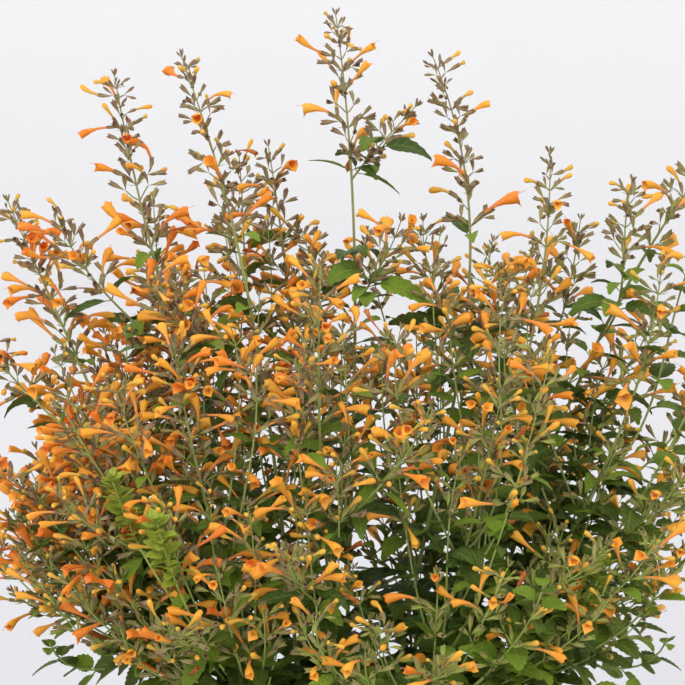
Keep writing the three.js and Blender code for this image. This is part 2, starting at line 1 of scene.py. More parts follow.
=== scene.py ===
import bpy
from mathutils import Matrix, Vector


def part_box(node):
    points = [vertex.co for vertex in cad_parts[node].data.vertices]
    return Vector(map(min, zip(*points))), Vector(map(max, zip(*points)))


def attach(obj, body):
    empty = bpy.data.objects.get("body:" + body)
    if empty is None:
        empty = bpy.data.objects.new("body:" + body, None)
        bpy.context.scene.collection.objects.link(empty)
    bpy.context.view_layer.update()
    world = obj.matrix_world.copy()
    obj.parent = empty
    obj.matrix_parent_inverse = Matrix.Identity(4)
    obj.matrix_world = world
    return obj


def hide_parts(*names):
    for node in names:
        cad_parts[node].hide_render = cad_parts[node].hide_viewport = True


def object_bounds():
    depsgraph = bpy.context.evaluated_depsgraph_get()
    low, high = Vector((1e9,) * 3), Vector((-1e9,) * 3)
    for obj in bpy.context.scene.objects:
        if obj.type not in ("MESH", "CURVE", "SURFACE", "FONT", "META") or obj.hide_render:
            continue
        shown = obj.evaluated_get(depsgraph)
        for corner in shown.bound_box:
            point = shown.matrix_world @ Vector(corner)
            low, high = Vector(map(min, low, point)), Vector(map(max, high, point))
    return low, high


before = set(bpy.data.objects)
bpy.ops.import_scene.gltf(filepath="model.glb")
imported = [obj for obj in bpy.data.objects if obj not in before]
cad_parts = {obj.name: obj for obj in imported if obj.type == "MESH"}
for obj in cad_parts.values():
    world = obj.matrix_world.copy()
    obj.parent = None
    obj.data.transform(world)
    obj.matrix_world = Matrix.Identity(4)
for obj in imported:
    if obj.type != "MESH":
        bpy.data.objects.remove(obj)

"""Potted giant hyssop: square leafy stems that end in whorled spikes of orange trumpet flowers.

The plant is grown again by the same rules as its solids, so that each stem, leaf and flower of theirs has
its fine one in the same place. Growing is in millimetres, with +Z up and the plant's front towards -Y.
Meshes are in metres.
"""

import collections
import functools
import math

import bpy
import numpy as np

bl_info = {
    "name": "Potted giant hyssop",
    "version": (1, 0, 0),
    "blender": (4, 5, 0),
    "location": "3D View > Sidebar > Hyssop",
    "description": "Grows a potted giant hyssop around its solids",
    "category": "Add Mesh",
}

CAD_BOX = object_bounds()
MM = 0.001
UP = np.array([0.0, 0.0, 1.0])
BACK = np.array([0.0, 1.0, 0.0])

# The rules of growth that the solids follow
SEED = 7
SOIL_TOP = 134
PLANTING_DEPTH = 14
CLEARANCE = 0.35
STEM_SECTION_STEP = 60
SHOOT_SECTION_STEP = 40
ROOT_SPLAY = 0.75
SHOOT_SPLAY = 0.8
ROOT_PULL = 0.42
SHOOT_PULL = 0.35
TIP_PULL = 0.34
LEAF_PAIR_STEP = 50
FIRST_LEAF_HEIGHT = 34
TOP_LEAF_GAP = 3
SHOOT_LEAF_SHARE = 0.55
LEAF_KEY = 50
WHORL_STEP = 16
WHORL_CROWDING = 1.35
FIRST_WHORL = 4
BUD_WHORLS = 0.74
FLORET_FAN = 13
FLORET_RUN = 34
CALYX_RUN = 12
CALYX_RADIUS = 1.9
LIP_HEIGHT = 3.2
LIP_REACH = 2.4
TURNS = (0, 22, -22, 44, -44, 70)
SAME_PLACE = 0.2

# Every stem: where it leaves the soil, the tip of its top spike, the lean of that tip for each unit of
# rise, the length of the spike, and its side shoots. A shoot starts with the share of the stem's length
# where it leaves it.
STEMS = (
    ((2, 8), (-4, 0, 610), (-0.14, 0), 90, (
        (0.8, (43, -8, 556), (0.9, -0.1), 50),
        (0.64, (34, -38, 490), (0.3, -0.3), 54),
        (0.62, (-27, 32, 486), (-0.25, 0.25), 54),
    )),
    ((-30, 8), (-135, -4, 574), (-0.17, 0), 108, (
        (0.62, (-167, -34, 494), (-0.3, -0.2), 60),
        (0.6, (-116, 46, 494), (-0.1, 0.3), 62),
    )),
    ((-15, -8), (-94, -22, 585), (-0.36, 0), 110, (
        (0.62, (-64, 62, 524), (-0.1, 0.25), 64),
        (0.58, (-112, -72, 462), (-0.2, -0.4), 66),
    )),
    ((24, 2), (54, 6, 585), (-0.42, 0), 108, (
        (0.6, (94, -28, 462), (0.2, -0.15), 58),
        (0.6, (50, 66, 484), (0.05, 0.3), 64),
    )),
    ((38, -12), (123, -8, 528), (-0.02, -0.02), 100, (
        (0.6, (146, 44, 486), (0.15, 0.3), 60),
        (0.5, (112, -82, 420), (0.1, -0.4), 64),
    )),
    ((50, 12), (224, 8, 530), (0.75, 0), 74, (
        (0.7, (170, -24, 512), (0.25, -0.2), 56),
        (0.52, (196, 62, 430), (0.4, 0.4), 62),
    )),
    ((-6, 30), (-45, 34, 531), (-0.16, 0.1), 84, (
        (0.5, (-28, 128, 452), (0, 0.5), 68),
    )),
    ((-52, -6), (-198, -12, 500), (-0.42, 0), 104, (
        (0.55, (-226, 26, 428), (-0.5, 0.1), 66),
        (0.42, (-208, -64, 356), (-0.6, -0.2), 66),
        (0.3, (-196, -24, 268), (-0.8, -0.1), 60),
    )),
    ((54, -22), (186, -40, 466), (0.05, -0.1), 88, (
        (0.56, (224, 0, 400), (0.4, 0.1), 64),
        (0.44, (196, -92, 352), (0.5, -0.4), 66),
        (0.3, (206, -30, 292), (0.9, 0), 60),
    )),
    ((-32, -30), (-94, -116, 428), (-0.1, -0.35), 96, (
        (0.5, (-158, -124, 344), (-0.5, -0.4), 66),
        (0.36, (-96, -168, 280), (-0.3, -0.8), 64),
    )),
    ((0, -36), (-12, -112, 470), (0.05, -0.2), 100, (
        (0.52, (48, -146, 396), (0.25, -0.4), 66),
        (0.38, (-30, -176, 322), (-0.1, -0.7), 66),
    )),
    ((30, -40), (88, -122, 398), (0.15, -0.35), 96, (
        (0.46, (146, -134, 316), (0.5, -0.5), 64),
        (0.34, (54, -182, 262), (0.2, -0.9), 62),
    )),
    ((-34, 38), (-124, 112, 456), (-0.3, 0.3), 92, (
        (0.5, (-182, 96, 364), (-0.6, 0.4), 66),
        (0.38, (-84, 172, 334), (-0.2, 0.7), 66),
    )),
    ((30, 42), (96, 112, 468), (0.2, 0.3), 94, (
        (0.52, (42, 168, 378), (0.1, 0.6), 66),
        (0.4, (166, 132, 340), (0.6, 0.5), 66),
    )),
)


def draw(*keys):
    """A repeatable number from 0 up to 1 for the thing that the keys name."""
    h = SEED
    for key in keys:
        h = (h ^ (key + 1)) * 0x9E3779B1 & 0xFFFFFFFF
        h ^= h >> 15
        h = h * 0x85EBCA77 & 0xFFFFFFFF
        h ^= h >> 13
    return h / 2**32


def between(low, high, *keys):
    return low + (high - low) * draw(*keys)


def mix(low, high, share):
    return low + (high - low) * share


def nearest_whole(number):
    return math.floor(number + 0.5)


def unit(vectors):
    return vectors / np.linalg.norm(vectors, axis=-1, keepdims=True)


def dot(a, b):
    return np.sum(a * b, axis=-1, keepdims=True)


# Growing


class Line:
    """A cubic centre line, measured by distance from its foot."""

    STEPS = np.linspace(0, 1, 201)

    def __init__(self, foot, first_way, tip, lean, pull):
        end = np.array(tip, float)
        reach = np.linalg.norm(end - foot)
        last_way = unit(np.array([*lean, 1.0]))
        self.knots = np.array([foot, foot + first_way * reach * pull, end - last_way * reach * TIP_PULL, end])
        steps = np.linalg.norm(np.diff(self.point(self.STEPS), axis=0), axis=1)
        self.reached = np.concatenate([[0], np.cumsum(steps)])
        self.length = self.reached[-1]

    def point(self, t):
        t = np.asarray(t)[..., None]
        a, b, c, d = self.knots
        return (1 - t) ** 3 * a + 3 * (1 - t) ** 2 * t * b + 3 * (1 - t) * t**2 * c + t**3 * d

    def slope(self, t):
        t = np.asarray(t)[..., None]
        a, b, c, d = self.knots
        return (1 - t) ** 2 * (b - a) + 2 * (1 - t) * t * (c - b) + t**2 * (d - c)

    def at(self, distance):
        return self.point(np.interp(distance, self.reached, self.STEPS))

    def frame(self, distance, sections=None):
        """The place, the way forward and the two side ways. With sections, the place is on the straight
        lines between them, as on a faceted stem."""
        t = np.interp(distance, self.reached, self.STEPS)
        place = self.point(t)
        if sections is not None:
            place = np.array([np.interp(distance, sections, axis) for axis in self.at(sections).T])
        way = unit(self.slope(t))
        side = unit(np.cross(BACK, way))
        return place, way, side, np.cross(way, side)


class Growth:
    """A stem or shoot: a leafy part and the spike that carries on from it. It is a main stem, a side
    shoot, a sprig or a shoot with a tuft of leaves, and it is solid if the solids have it too. Its number
    is a key of its draws."""

    def __init__(self, line, spike, main, number, stem_node, spike_node, solid=True, sprig=False, tuft=None):
        self.line, self.spike, self.main, self.number = line, spike, main, number
        self.stem_node, self.spike_node = stem_node, spike_node
        self.solid, self.sprig, self.tuft = solid, sprig, tuft
        self.end = line.length - spike
        step = STEM_SECTION_STEP if main else SHOOT_SECTION_STEP
        leafy = np.linspace(0, self.end - CLEARANCE / 2, max(2, nearest_whole(self.end / step)) + 1)
        flowering = np.linspace(self.end + CLEARANCE / 2, line.length, 3)
        if sprig:
            leafy, flowering = np.linspace(0, self.end, SPRIG_SECTIONS + 1), [line.length]
        self.sections = np.concatenate([leafy, flowering])

    def faceted_frame(self, distance):
        return self.line.frame(distance, self.sections)


def outward(frame_, angle):
    _, _, side, back = frame_
    return side * math.cos(angle) + back * math.sin(angle)


def shoot_line(main, up, tip, lean):
    place, way, *_ = main.faceted_frame(up * main.line.length)
    towards = (np.array(tip) - place) * (1, 1, 0)
    return Line(place, unit(way + SHOOT_SPLAY * unit(towards)), tip, lean, SHOOT_PULL)


def solid_growths():
    growths = []
    for s, (root, tip, lean, spike, shoots) in enumerate(STEMS):
        label = f"{s + 1:02d}"
        foot = np.array([*root, SOIL_TOP - PLANTING_DEPTH], float)
        splay = np.array([tip[0] - root[0], tip[1] - root[1], 0]) * ROOT_SPLAY / (tip[2] - SOIL_TOP)
        line = Line(foot, unit(splay + UP), tip, lean, ROOT_PULL)
        main = Growth(line, spike, True, len(growths), f"stem_{label}", f"spike_{label}")
        growths.append(main)
        for letter, (up, tip_, lean_, spike_) in zip("abc", shoots):
            side = shoot_line(main, up, tip_, lean_)
            spike_node = f"spike_{label}{letter}"
            growths.append(Growth(side, spike_, False, len(growths), main.stem_node, spike_node))
    return growths


# Sprigs fill the crown between the other shoots. Their tips lie in a shell under a rounded dome. The
# solids have the few that stand most apart, and the scene has these and many more.
SOLID_SPRIGS = 8
SOLID_SPRIG_TRIES = 900
SOLID_SPRIG_ROOM = 46
SOLID_TIP_RADIUS = 0.5
SPRIGS = 190
SPRIG_TRIES = 5200
SPRIG_SECTIONS = 2
SPRIG_LEAVES = 2
SPRIG_SPIKES = (40, 68)
SHORTEST_LEAFY_PART = 40
# A tip leans outward by its distance from the middle over this, and sways by up to so much either way
SPRIG_LEAN = 400
SPRIG_SWAY = 0.2
SIDE_CROWDING = 0.22
# The free room round a sprig's spike, and how it changes from the plant's left to its right
SPRIG_ROOM = 13.5
ROOM_SIDES = (-140, 120)
ROOM_RANGE = (0.74, 1.25)
# The dome that the first tries fill, and the fuller and flatter crown that the later ones fill: half its
# size, its roundness, and the share of its radius where the tips begin
DOME_FOOT = 205
DOME = (np.array([222.0, 178.0, 300.0]), 2.6, 0.66)
CROWN = (np.array([228.0, 172.0, 270.0]), 4.5, 0.4)
# A sprig's foot is so far below its tip at least, and so far at best. The cost of a foot is its distance
# to the side for its rise, and how far its rise is from the best one, over RISE_REACH.
LOWEST_TIP = 236
LEAST_RISE = 70
BEST_RISE = 140
RISE_REACH = 220
HIGHEST_COST = 1.9
# The shares of a stem's length at which a sprig may leave it
FOOT_SHARES = np.linspace(0.24, 0.66, 15)

# The leaves round the tip of a shoot that doesn't flower: so many pairs along a reach, the longest and
# the shortest, half the width for the length, and how young they look, up to 1
Tuft = collections.namedtuple("Tuft", "pairs reach lengths broad youth")
YOUNG = Tuft(22, 44, (14, 8), 0.3, 1.0)
LEAFY = Tuft(8, 95, (30, 14), 0.3, 0.12)
YOUNG_TIPS = ((-101, -162, 335), (-127, -138, 354), (150, -96, 300), (30, 150, 330))
LEAFY_TIPS = (
    *((206, -30, 470), (200, -84, 392), (184, -92, 290), (112, -136, 296), (-186, -58, 320)),
    *((-174, -36, 240), (-138, -104, 226), (192, -44, 244), (166, -98, 228), (60, -160, 232)),
    *((150, 112, 262), (-60, 150, 250), (128, 120, 372)),
)
TUFT_LEAN = 500
TUFT_SPIKE = 0.5

# The keys of draws, by what they are for
SPRIG_KEY = 900
BETWEEN_KEY = 60
LEAF_TONE_KEY = 61
LEAF_ROLL_KEY = 62
TUFT_LENGTH_KEY = 64
STEM_TONE_KEY = 71
TUFT_TURN_KEY = 71
RACHIS_TONE_KEY = 72
EXTRA_LEAF_KEY = 77
OPEN_KEY = 198
FLORET_KEY = 199
CYME_FLORET_KEY = 200
BRACT_KEY = 300
TIP_KEY = 400
CYME_KEY = 500
CRUMB_KEY = 950


def sprig_facts(i):
    """The tip, lean and spike length of the sprig that a draw tries."""
    around = between(0, 2 * math.pi, SPRIG_KEY, i, 1)
    turn = around - SIDE_CROWDING * math.sin(2 * around)
    height = between(0.02, 1, SPRIG_KEY, i, 2)
    flat = math.sqrt(1 - height**2)
    way = np.array([flat * math.cos(turn), flat * math.sin(turn), height])
    size, roundness, innermost = DOME if i < SOLID_SPRIG_TRIES else CROWN
    surface = np.sum((np.abs(way) / size) ** roundness) ** (-1 / roundness)
    tip = way * surface * between(innermost, 1, SPRIG_KEY, i, 3) + (0, 0, DOME_FOOT)
    sway = [between(-SPRIG_SWAY, SPRIG_SWAY, SPRIG_KEY, i, key) for key in (4, 5)]
    return tip, tip[:2] / SPRIG_LEAN + sway, between(*SPRIG_SPIKES, SPRIG_KEY, i, 6)


@functools.cache
def feet():
    """The stems, and the places along each where sprigs may leave it."""
    mains = [it for it in solid_growths() if it.main]
    return mains, np.array([main.line.at(FOOT_SHARES * main.line.length) for main in mains])


def best_foot(tip):
    """The cost, the stem and the place along it from which a sprig rises to its tip by the easiest
    curve."""
    mains, places = feet()
    rise = tip[2] - places[..., 2]
    steep = np.hypot(tip[0] - places[..., 0], tip[1] - places[..., 1]) / np.maximum(rise, 1)
    cost = np.where(rise >= LEAST_RISE, steep + np.abs(rise - BEST_RISE) / RISE_REACH, math.inf)
    stem, share = np.unravel_index(cost.argmin(), cost.shape)
    return cost[stem, share], mains[stem], FOOT_SHARES[share]


def is_in_solids(line, node):
    """Whether the solids show this sprig: they have a corner of its tip."""
    frame_ = line.frame(line.length)
    corner = frame_[0] + outward(frame_, math.radians(45)) * SOLID_TIP_RADIUS
    return lookup(node, [corner]) is not None


@functools.cache
def sprig_tries():
    """The sprigs that the draws give, with their stems and lines."""
    tries = []
    for i in range(SPRIG_TRIES):
        tip, lean, spike = sprig_facts(i)
        if tip[2] < LOWEST_TIP:
            continue
        cost, main, up = best_foot(tip)
        if cost > HIGHEST_COST:
            continue
        line = shoot_line(main, up, tip, lean)
        if line.length >= spike + SHORTEST_LEAFY_PART:
            tries.append((i, main, line, spike))
    return tries


def spike_places(line, spike):
    return line.at(np.linspace(line.length - spike, line.length, 4))


def sprig_growths(solids):
    """The sprigs that the solids have, and then those of the scene alone, each with free room round its
    spike."""
    taken = [spike_places(it.line, it.spike) for it in solids]
    found = []

    def add(most, tries, solid):
        for _, main, line, spike in tries:
            if len(found) == most:
                return
            places = spike_places(line, spike)
            room = SOLID_SPRIG_ROOM
            if not solid:
                room = SPRIG_ROOM * np.interp(places[-1][0], ROOM_SIDES, ROOM_RANGE)
            if np.linalg.norm(places[:, None] - np.vstack(taken), axis=-1).min() < room:
                continue
            if solid and not is_in_solids(line, main.stem_node):
                continue
            taken.append(places)
            near = min(
                (it for it in solids if it.stem_node == main.stem_node),
                key=lambda it: np.linalg.norm(it.line.knots[-1] - line.knots[-1]),
            )
            number = len(solids) + len(found)
            sprig = Growth(line, spike, False, number, main.stem_node, near.spike_node, solid, sprig=True)
            found.append(sprig)

    add(SOLID_SPRIGS, [one for one in sprig_tries() if one[0] < SOLID_SPRIG_TRIES], True)
    add(SPRIGS, sprig_tries(), False)
    return found


def tufted_growths(first_number):
    found = []
    for tips, tuft in ((YOUNG_TIPS, YOUNG), (LEAFY_TIPS, LEAFY)):
        for tip in tips:
            tip = np.array(tip, float)
            _, main, up = best_foot(tip)
            line = shoot_line(main, up, tip, tip[:2] / TUFT_LEAN)
            number = first_number + len(found)
            shoot = Growth(line, TUFT_SPIKE, False, number, main.stem_node, None, solid=False, tuft=tuft)
            found.append(shoot)
    return found


@functools.cache
def plant():
    solids = solid_growths()
    sprigs = sprig_growths(solids)
    return solids, sprigs, tufted_growths(len(solids) + len(sprigs))


@functools.cache
def node_corners(node):
    """The corners of a CAD solid, in millimetres."""
    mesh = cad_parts[node].data
    corners = np.empty(len(mesh.vertices) * 3)
    mesh.vertices.foreach_get("co", corners)
    return corners.reshape(-1, 3) / MM


# Stalks and shapes


def ways_of(frame_, angle, rise, tilt):
    """The first and the last way of a stalk that starts `rise` degrees off its stem and ends `tilt`
    degrees above level."""
    _, way, *_ = frame_
    out = outward(frame_, angle)
    rise, tilt = math.radians(rise), math.radians(tilt)
    level = unit((out + 0.5 * way) * (1, 1, 0))
    return way * math.cos(rise) + out * math.sin(rise), level * math.cos(tilt) + UP * math.sin(tilt)


def along_bend(at, first, last, stem_way, length, run):
    """The point, the way, and the upper and cross directions of bent stalks at a run along them."""
    turn = np.maximum(np.arccos(np.clip(dot(first, last), -1, 1)), 0.02)
    bent = unit(last - first * dot(first, last))
    curl = turn / length
    point = at + first * np.sin(curl * run) / curl + bent * (1 - np.cos(curl * run)) / curl
    way = first * np.cos(curl * run) + bent * np.sin(curl * run)
    up = stem_way + 0.8 * UP
    over = unit(up - way * dot(up, way))
    return point, way, over, np.cross(over, way)


class Stalks:
    """A batch of bent stalks. Each has its start, its first and last way, its stem's way and its length,
    and the scales along, across and over it of the shape that it carries, which is rolled about it."""

    def __init__(self):
        self.rows = []

    def add(self, frame_, angle, rise, tilt, length, along, wide, high, roll=0.0):
        place, way, *_ = frame_
        ways = np.concatenate(ways_of(frame_, angle, rise, tilt))
        self.rows.append((*place, *ways, *way, length, along, wide, high, roll))

    def lay(self, shape):
        """The corners of the shape on every stalk."""
        rows = np.array(self.rows)
        at, first, last, stem_way = (rows[:, None, i : i + 3] for i in (0, 3, 6, 9))
        length, along, wide, high, roll = (rows[:, None, i : i + 1] for i in range(12, 17))
        point, way, over, across = along_bend(at, first, last, stem_way, length, along * shape.run[:, None])
        cos, sin = np.cos(roll), np.sin(roll)
        x, y = shape.across[:, None] * wide, shape.over[:, None] * high
        x, y = x * cos - y * sin, x * sin + y * cos
        return point + across * x + over * y + way * (shape.forward[:, None] * along)


class Shape:
    """A closed skin over rings of corners on a stalk. Each corner has its run along the stalk, its
    offsets across and over it, and a push forward, and three marks for the materials: along, around and
    which part it is."""

    def __init__(self, rings, marks, start=(0, 0, 0, 0), end=(1, 0, 0, 0), part=0.0):
        rings = np.array(rings, float)
        count, columns, _ = rings.shape
        corners = np.vstack([rings.reshape(-1, 4), np.array([start, end], float)])
        self.run, self.across, self.over, self.forward = corners.T

        def spread(values):
            """The values of the rings' corners and then of the two ends."""
            return np.append(np.repeat(values[1:-1], columns), [values[0], values[-1]])

        around = np.append(np.tile(np.arange(columns) / columns, count), [0.5, 0.5])
        part = np.broadcast_to(np.asarray(part, float), count + 2)
        self.marks = np.column_stack([spread(np.array(marks, float)), around, spread(part)])

        i = np.arange(columns)
        j = (i + 1) % columns
        pole, top = count * columns, (count - 1) * columns
        quads = []
        for row in range(0, top, columns):
            quads.append(np.column_stack([row + i, row + j, row + columns + j, row + columns + i]))
        self.quads = np.vstack(quads)
        first = np.column_stack([np.full(columns, pole), j, i])
        last = np.column_stack([top + i, top + j, np.full(columns, pole + 1)])
        self.tris = np.vstack([first, last])

        def face_map(*corners):
            """The map of a ring of faces, from the height and the turns of each of their corners."""
            places = [np.column_stack([np.full(columns, height), turn]) for height, turn in corners]
            return np.stack(places, 1)

        u = np.linspace(0, 1, count + 2)
        low, high = i / columns, (i + 1) / columns
        middle = (low + high) / 2
        quad_map = [face_map((a, low), (a, high), (b, high), (b, low)) for a, b in zip(u[1:-2], u[2:-1])]
        self.quad_map = np.vstack(quad_map)
        first_map = face_map((0, middle), (u[1], high), (u[1], low))
        last_map = face_map((u[-2], low), (u[-2], high), (1, middle))
        self.tri_map = np.vstack([first_map, last_map])

    def with_more(self, other):
        """The two shapes as one, side by side on the map."""
        shift = len(self.run)
        for name in ("run", "across", "over", "forward"):
            setattr(self, name, np.append(getattr(self, name), getattr(other, name)))
        self.marks = np.vstack([self.marks, other.marks])
        self.quads = np.vstack([self.quads, other.quads + shift])
        self.tris = np.vstack([self.tris, other.tris + shift])
        taken = 0.86
        for name in ("quad_map", "tri_map"):
            mine, more = getattr(self, name), getattr(other, name)
            setattr(self, name, np.vstack([mine * (1, taken), more * (1, 1 - taken) + (0, taken)]))
        return self


def ring_angles(columns, first=90):
    return np.radians(first + 360 * np.arange(columns) / columns)


def ring_at(run, across, over, forward=0.0):
    return np.column_stack(np.broadcast_arrays(run, across, over, forward))


def round_ring(run, above, below, side, columns):
    angle = ring_angles(columns)
    height = np.where(np.sin(angle) >= 0, above, below)
    return ring_at(run, np.cos(angle) * side, np.sin(angle) * height)


# A flower's tube from its foot to its throat, and the ring deep inside it: the run, and how far it
# reaches above and below its middle
TUBE = ((10.5, 0.75, 0.75), (18.5, 0.95, 0.95), (23.5, 1.65, 1.75), (27.3, 2.55, 2.8), (30.6, 2.75, 3.15))
DEEP_RING = (28.5, 1.7, 2.1)
# The lips of its mouth from the top round to the bottom: how far each place reaches forward and outward
# from the throat. Their rings run out to the rim and back: the share of that reach, and how far they lie
# within it.
LIPS = ((2.8, -0.9), (2.5, -0.2), (1.4, 0.7), (1.4, 1.3), (1.0, 1.0), (2.0, 1.7), (2.9, 2.4))
LIP_RINGS = ((0.6, 0.1), (1, 0.3), (0.5, 0.7))
RUFFLE = 0.42
# Its stamens: how far to the side each stands, how far forward it reaches, and how high above the middle
STAMENS = ((0.5, 37.0, 2.0), (-0.5, 35.6, 1.6))


def flower_shape(gape, reach, girth=1.0, sides=12, stamens=True):
    """A two-lipped trumpet flower, from inside its calyx to its lips and back down its throat. gape opens
    the lower lip, reach lengthens the lips and girth widens the throat."""
    half = sides // 2
    steps = np.abs((np.arange(sides) + half) % sides - half) * (len(LIPS) - 1) / half
    forward, out = (np.interp(steps, range(len(LIPS)), column) for column in zip(*LIPS))
    ruffle = np.where(np.arange(sides) % 2 == 0, RUFFLE, -RUFFLE)
    forward = forward * reach + ruffle
    out = out * np.where(steps > 2, gape, 1) + ruffle * 0.6
    angle = ring_angles(sides)
    around = np.column_stack([np.cos(angle), np.sin(angle)])

    def ring(run, above, below):
        return round_ring(run, above * girth, below * girth, (above + below) / 2 * girth, sides)

    rings = [ring(*row) for row in TUBE]
    for share, inward in LIP_RINGS:
        lips = ring(*TUBE[-1])
        lips[:, 0] += forward * share
        lips[:, 1:3] += around * (out * share**1.5 - inward)[:, None]
        rings.append(lips)
    start, end = (9, 0, 0, 0), (26, 0, 0, 0)
    marks = [0, 0.05, 0.3, 0.46, 0.62, 0.78, 0.9, 1, 0.92, 0.8]
    part = [0] * 8 + [0.3, 1]
    if not stamens:
        return Shape(rings, marks, start, end, part)
    flower = Shape([*rings, ring(*DEEP_RING)], [*marks, 0.7], start, end, [*part, 1])
    for stamen in STAMENS:
        flower = flower.with_more(stamen_shape(*stamen))
    return flower


def stamen_shape(sideways, reach, height):
    angle = ring_angles(3)

    def ring(run, radius, over):
        return ring_at(run, sideways + np.cos(angle) * radius, over + np.sin(angle) * radius)

    rings = [ring(28, 0.13, 0.9), ring(reach - 0.7, 0.12, height), ring(reach - 0.3, 0.34, height)]
    return Shape(rings, [0, 0.2, 0.8, 1, 1], (26, sideways, 0.7, 0), (reach + 0.4, sideways, height, 0), 2.0)


def bud_shape(tip):
    """A club-shaped bud that stands out of its calyx as far as `tip`."""
    body = mix(1.3, 2.1, min(1, (tip - 11) / 14))
    rings = [round_ring(10.5, 0.7, 0.7, 0.7, 6)]
    for share, above, below in ((0.42, 0.58, 0.6), (0.74, 1, 1.1), (0.94, 0.75, 0.85)):
        rings.append(round_ring(mix(11, tip, share), body * above, body * below, body * above, 6))
    return Shape(rings, [0, 0.05, 0.35, 0.7, 0.95, 1], (9, 0, 0, 0), (tip, 0, -0.1, 0), 3.0)


def calyx_shape(mouth, teeth, swell, columns=10):
    """A ribbed calyx with teeth on a short stalk. One with few columns has a ring less too."""
    angle = ring_angles(columns)
    rib = np.arange(columns) % 2 == 0

    def ring(run, on_rib, in_groove, push=0.0):
        radius = np.where(rib, on_rib, in_groove)
        return ring_at(run, np.cos(angle) * radius, np.sin(angle) * radius, np.where(rib, push, 0))

    rings = [ring(3.0, 0.42, 0.42), ring(5.2, swell * 0.78, swell * 0.7), ring(8.8, swell, swell * 0.88)]
    marks = [0, 0.2, 0.38, 0.75, 1, 0.75]
    if columns < 8:
        rings = [ring(3.4, 0.55, 0.55), ring(7.6, swell, swell * 0.88)]
        marks = [0, 0.2, 0.6, 1, 0.75]
    rings.append(ring(10.6, mouth, mouth * 0.84, teeth))
    # The inner end of the calyx is part 1, which the calyx material paints near black as shade
    return Shape(rings, marks, end=(8.4, 0, 0, 0), part=[0] * (len(marks) - 1) + [1])


LEAF_TEETH = 6
# Shares of a leaf's length or half width: its stalk, the fold of its halves, the width between two teeth,
# how far the edge points forward at a tooth and between two, how high it is quilted there, its bulge, how
# far back its midrib lies, the height of the midrib's upper side, the depth of its lower side at the tip, and
# how much deeper that is at the foot
LEAF_STALK = 0.15
LEAF_FOLD = 0.2
LEAF_NOTCH = 0.86
TOOTH_POINT, NOTCH_POINT = 0.02, -0.004
TOOTH_QUILT, NOTCH_QUILT = 0.05, -0.02
LEAF_BULGE = 0.03
MIDRIB_BACK, MIDRIB_TOP = 0.012, 0.012
MIDRIB_TIP_DEPTH, MIDRIB_DEEPENING = 0.02, 0.075
# The corners round a section of the leaf's stalk, and those that a plain leaf has
STALK_SECTION = ((1, 0), (0.5, 1), (0, 1), (-0.5, 1), (-1, 0), (0, -1))
PLAIN_CORNERS = [0, 2, 4, 5]


def leaf_shape(teeth, roundness, bluntness=0.62, plain=False):
    """A toothed leaf on a short stalk, with both halves raised like a shallow V and quilted between its
    veins. The run is a share of its length, and across and over are shares of its half width."""
    rings = []
    for run, wide in ((0.02, 0.05), (LEAF_STALK, 0.055)):
        rings.append([(run, x * wide, y * 0.05, 0) for x, y in STALK_SECTION])
    marks = [0, 0, 0]
    stations = 2 * teeth
    for i in range(stations):
        tooth = i % 2 == 1
        t = (i + (0.8 if tooth else 0.6)) / (stations + 0.5)
        wide = math.sin(math.pi * t**roundness) ** bluntness * (1 if tooth else LEAF_NOTCH)
        run = mix(LEAF_STALK, 1, t)
        edge_run = run + (TOOTH_POINT if tooth else NOTCH_POINT)
        quilt = TOOTH_QUILT if tooth else NOTCH_QUILT
        edge_height, half_height = wide * LEAF_FOLD, 0.5 * wide * LEAF_FOLD + quilt + LEAF_BULGE
        rings.append(
            [
                (edge_run, wide, edge_height, 0),
                (run, 0.5 * wide, half_height, 0),
                (run - MIDRIB_BACK, 0, MIDRIB_TOP, 0),
                (run, -0.5 * wide, half_height, 0),
                (edge_run, -wide, edge_height, 0),
                (run - MIDRIB_BACK, 0, -MIDRIB_DEEPENING * (1 - t) - MIDRIB_TIP_DEPTH, 0),
            ]
        )
        marks.append(t)
    marks.append(1)
    edge, under = np.array([1, 0.5, 0, -0.5, -1, 0]), np.array([0, 0, 0, 0, 0, 1])
    if plain:
        rings = [[ring[k] for k in PLAIN_CORNERS] for ring in rings]
        edge, under = edge[PLAIN_CORNERS], under[PLAIN_CORNERS]
    shape = Shape(rings, marks)
    shape.marks[:-2, 1] = np.tile(edge, len(rings))
    shape.marks[:-2, 2] = np.tile(under, len(rings))
    shape.marks[-2:, 1:] = 0
    return shape


def bract_shape():
    """A small plain leaf at the foot of a whorl."""
    rings = []
    for run, wide in ((0.12, 0.25), (0.4, 1), (0.7, 0.7)):
        edge = 0.2 * wide
        rings.append([(run, wide, edge, 0), (run, 0, 0.1, 0), (run, -wide, edge, 0), (run, 0, -0.15, 0)])
    return Shape(rings, [0, 0.1, 0.4, 0.7, 1])


def stalk_shape():
    """A thin stalk of length 1."""
    angle = ring_angles(4)
    rings = [ring_at(run, np.cos(angle), np.sin(angle)) for run in (0.02, 0.5, 0.98)]
    return Shape(rings, [0, 0.1, 0.5, 0.9, 1])


def tube_shape(count, columns):
    """The faces and marks of a stem or turned body with so many rings. Its corners are given elsewhere."""
    return Shape(np.zeros((count, columns, 4)), np.linspace(0, 1, count + 2))


# The height where growth begins to count as high, how much higher it fully does, and a sharp edge's angle
LOW_GROWTH = 180
GROWTH_RISE = 400
SHARP_ANGLE = 62


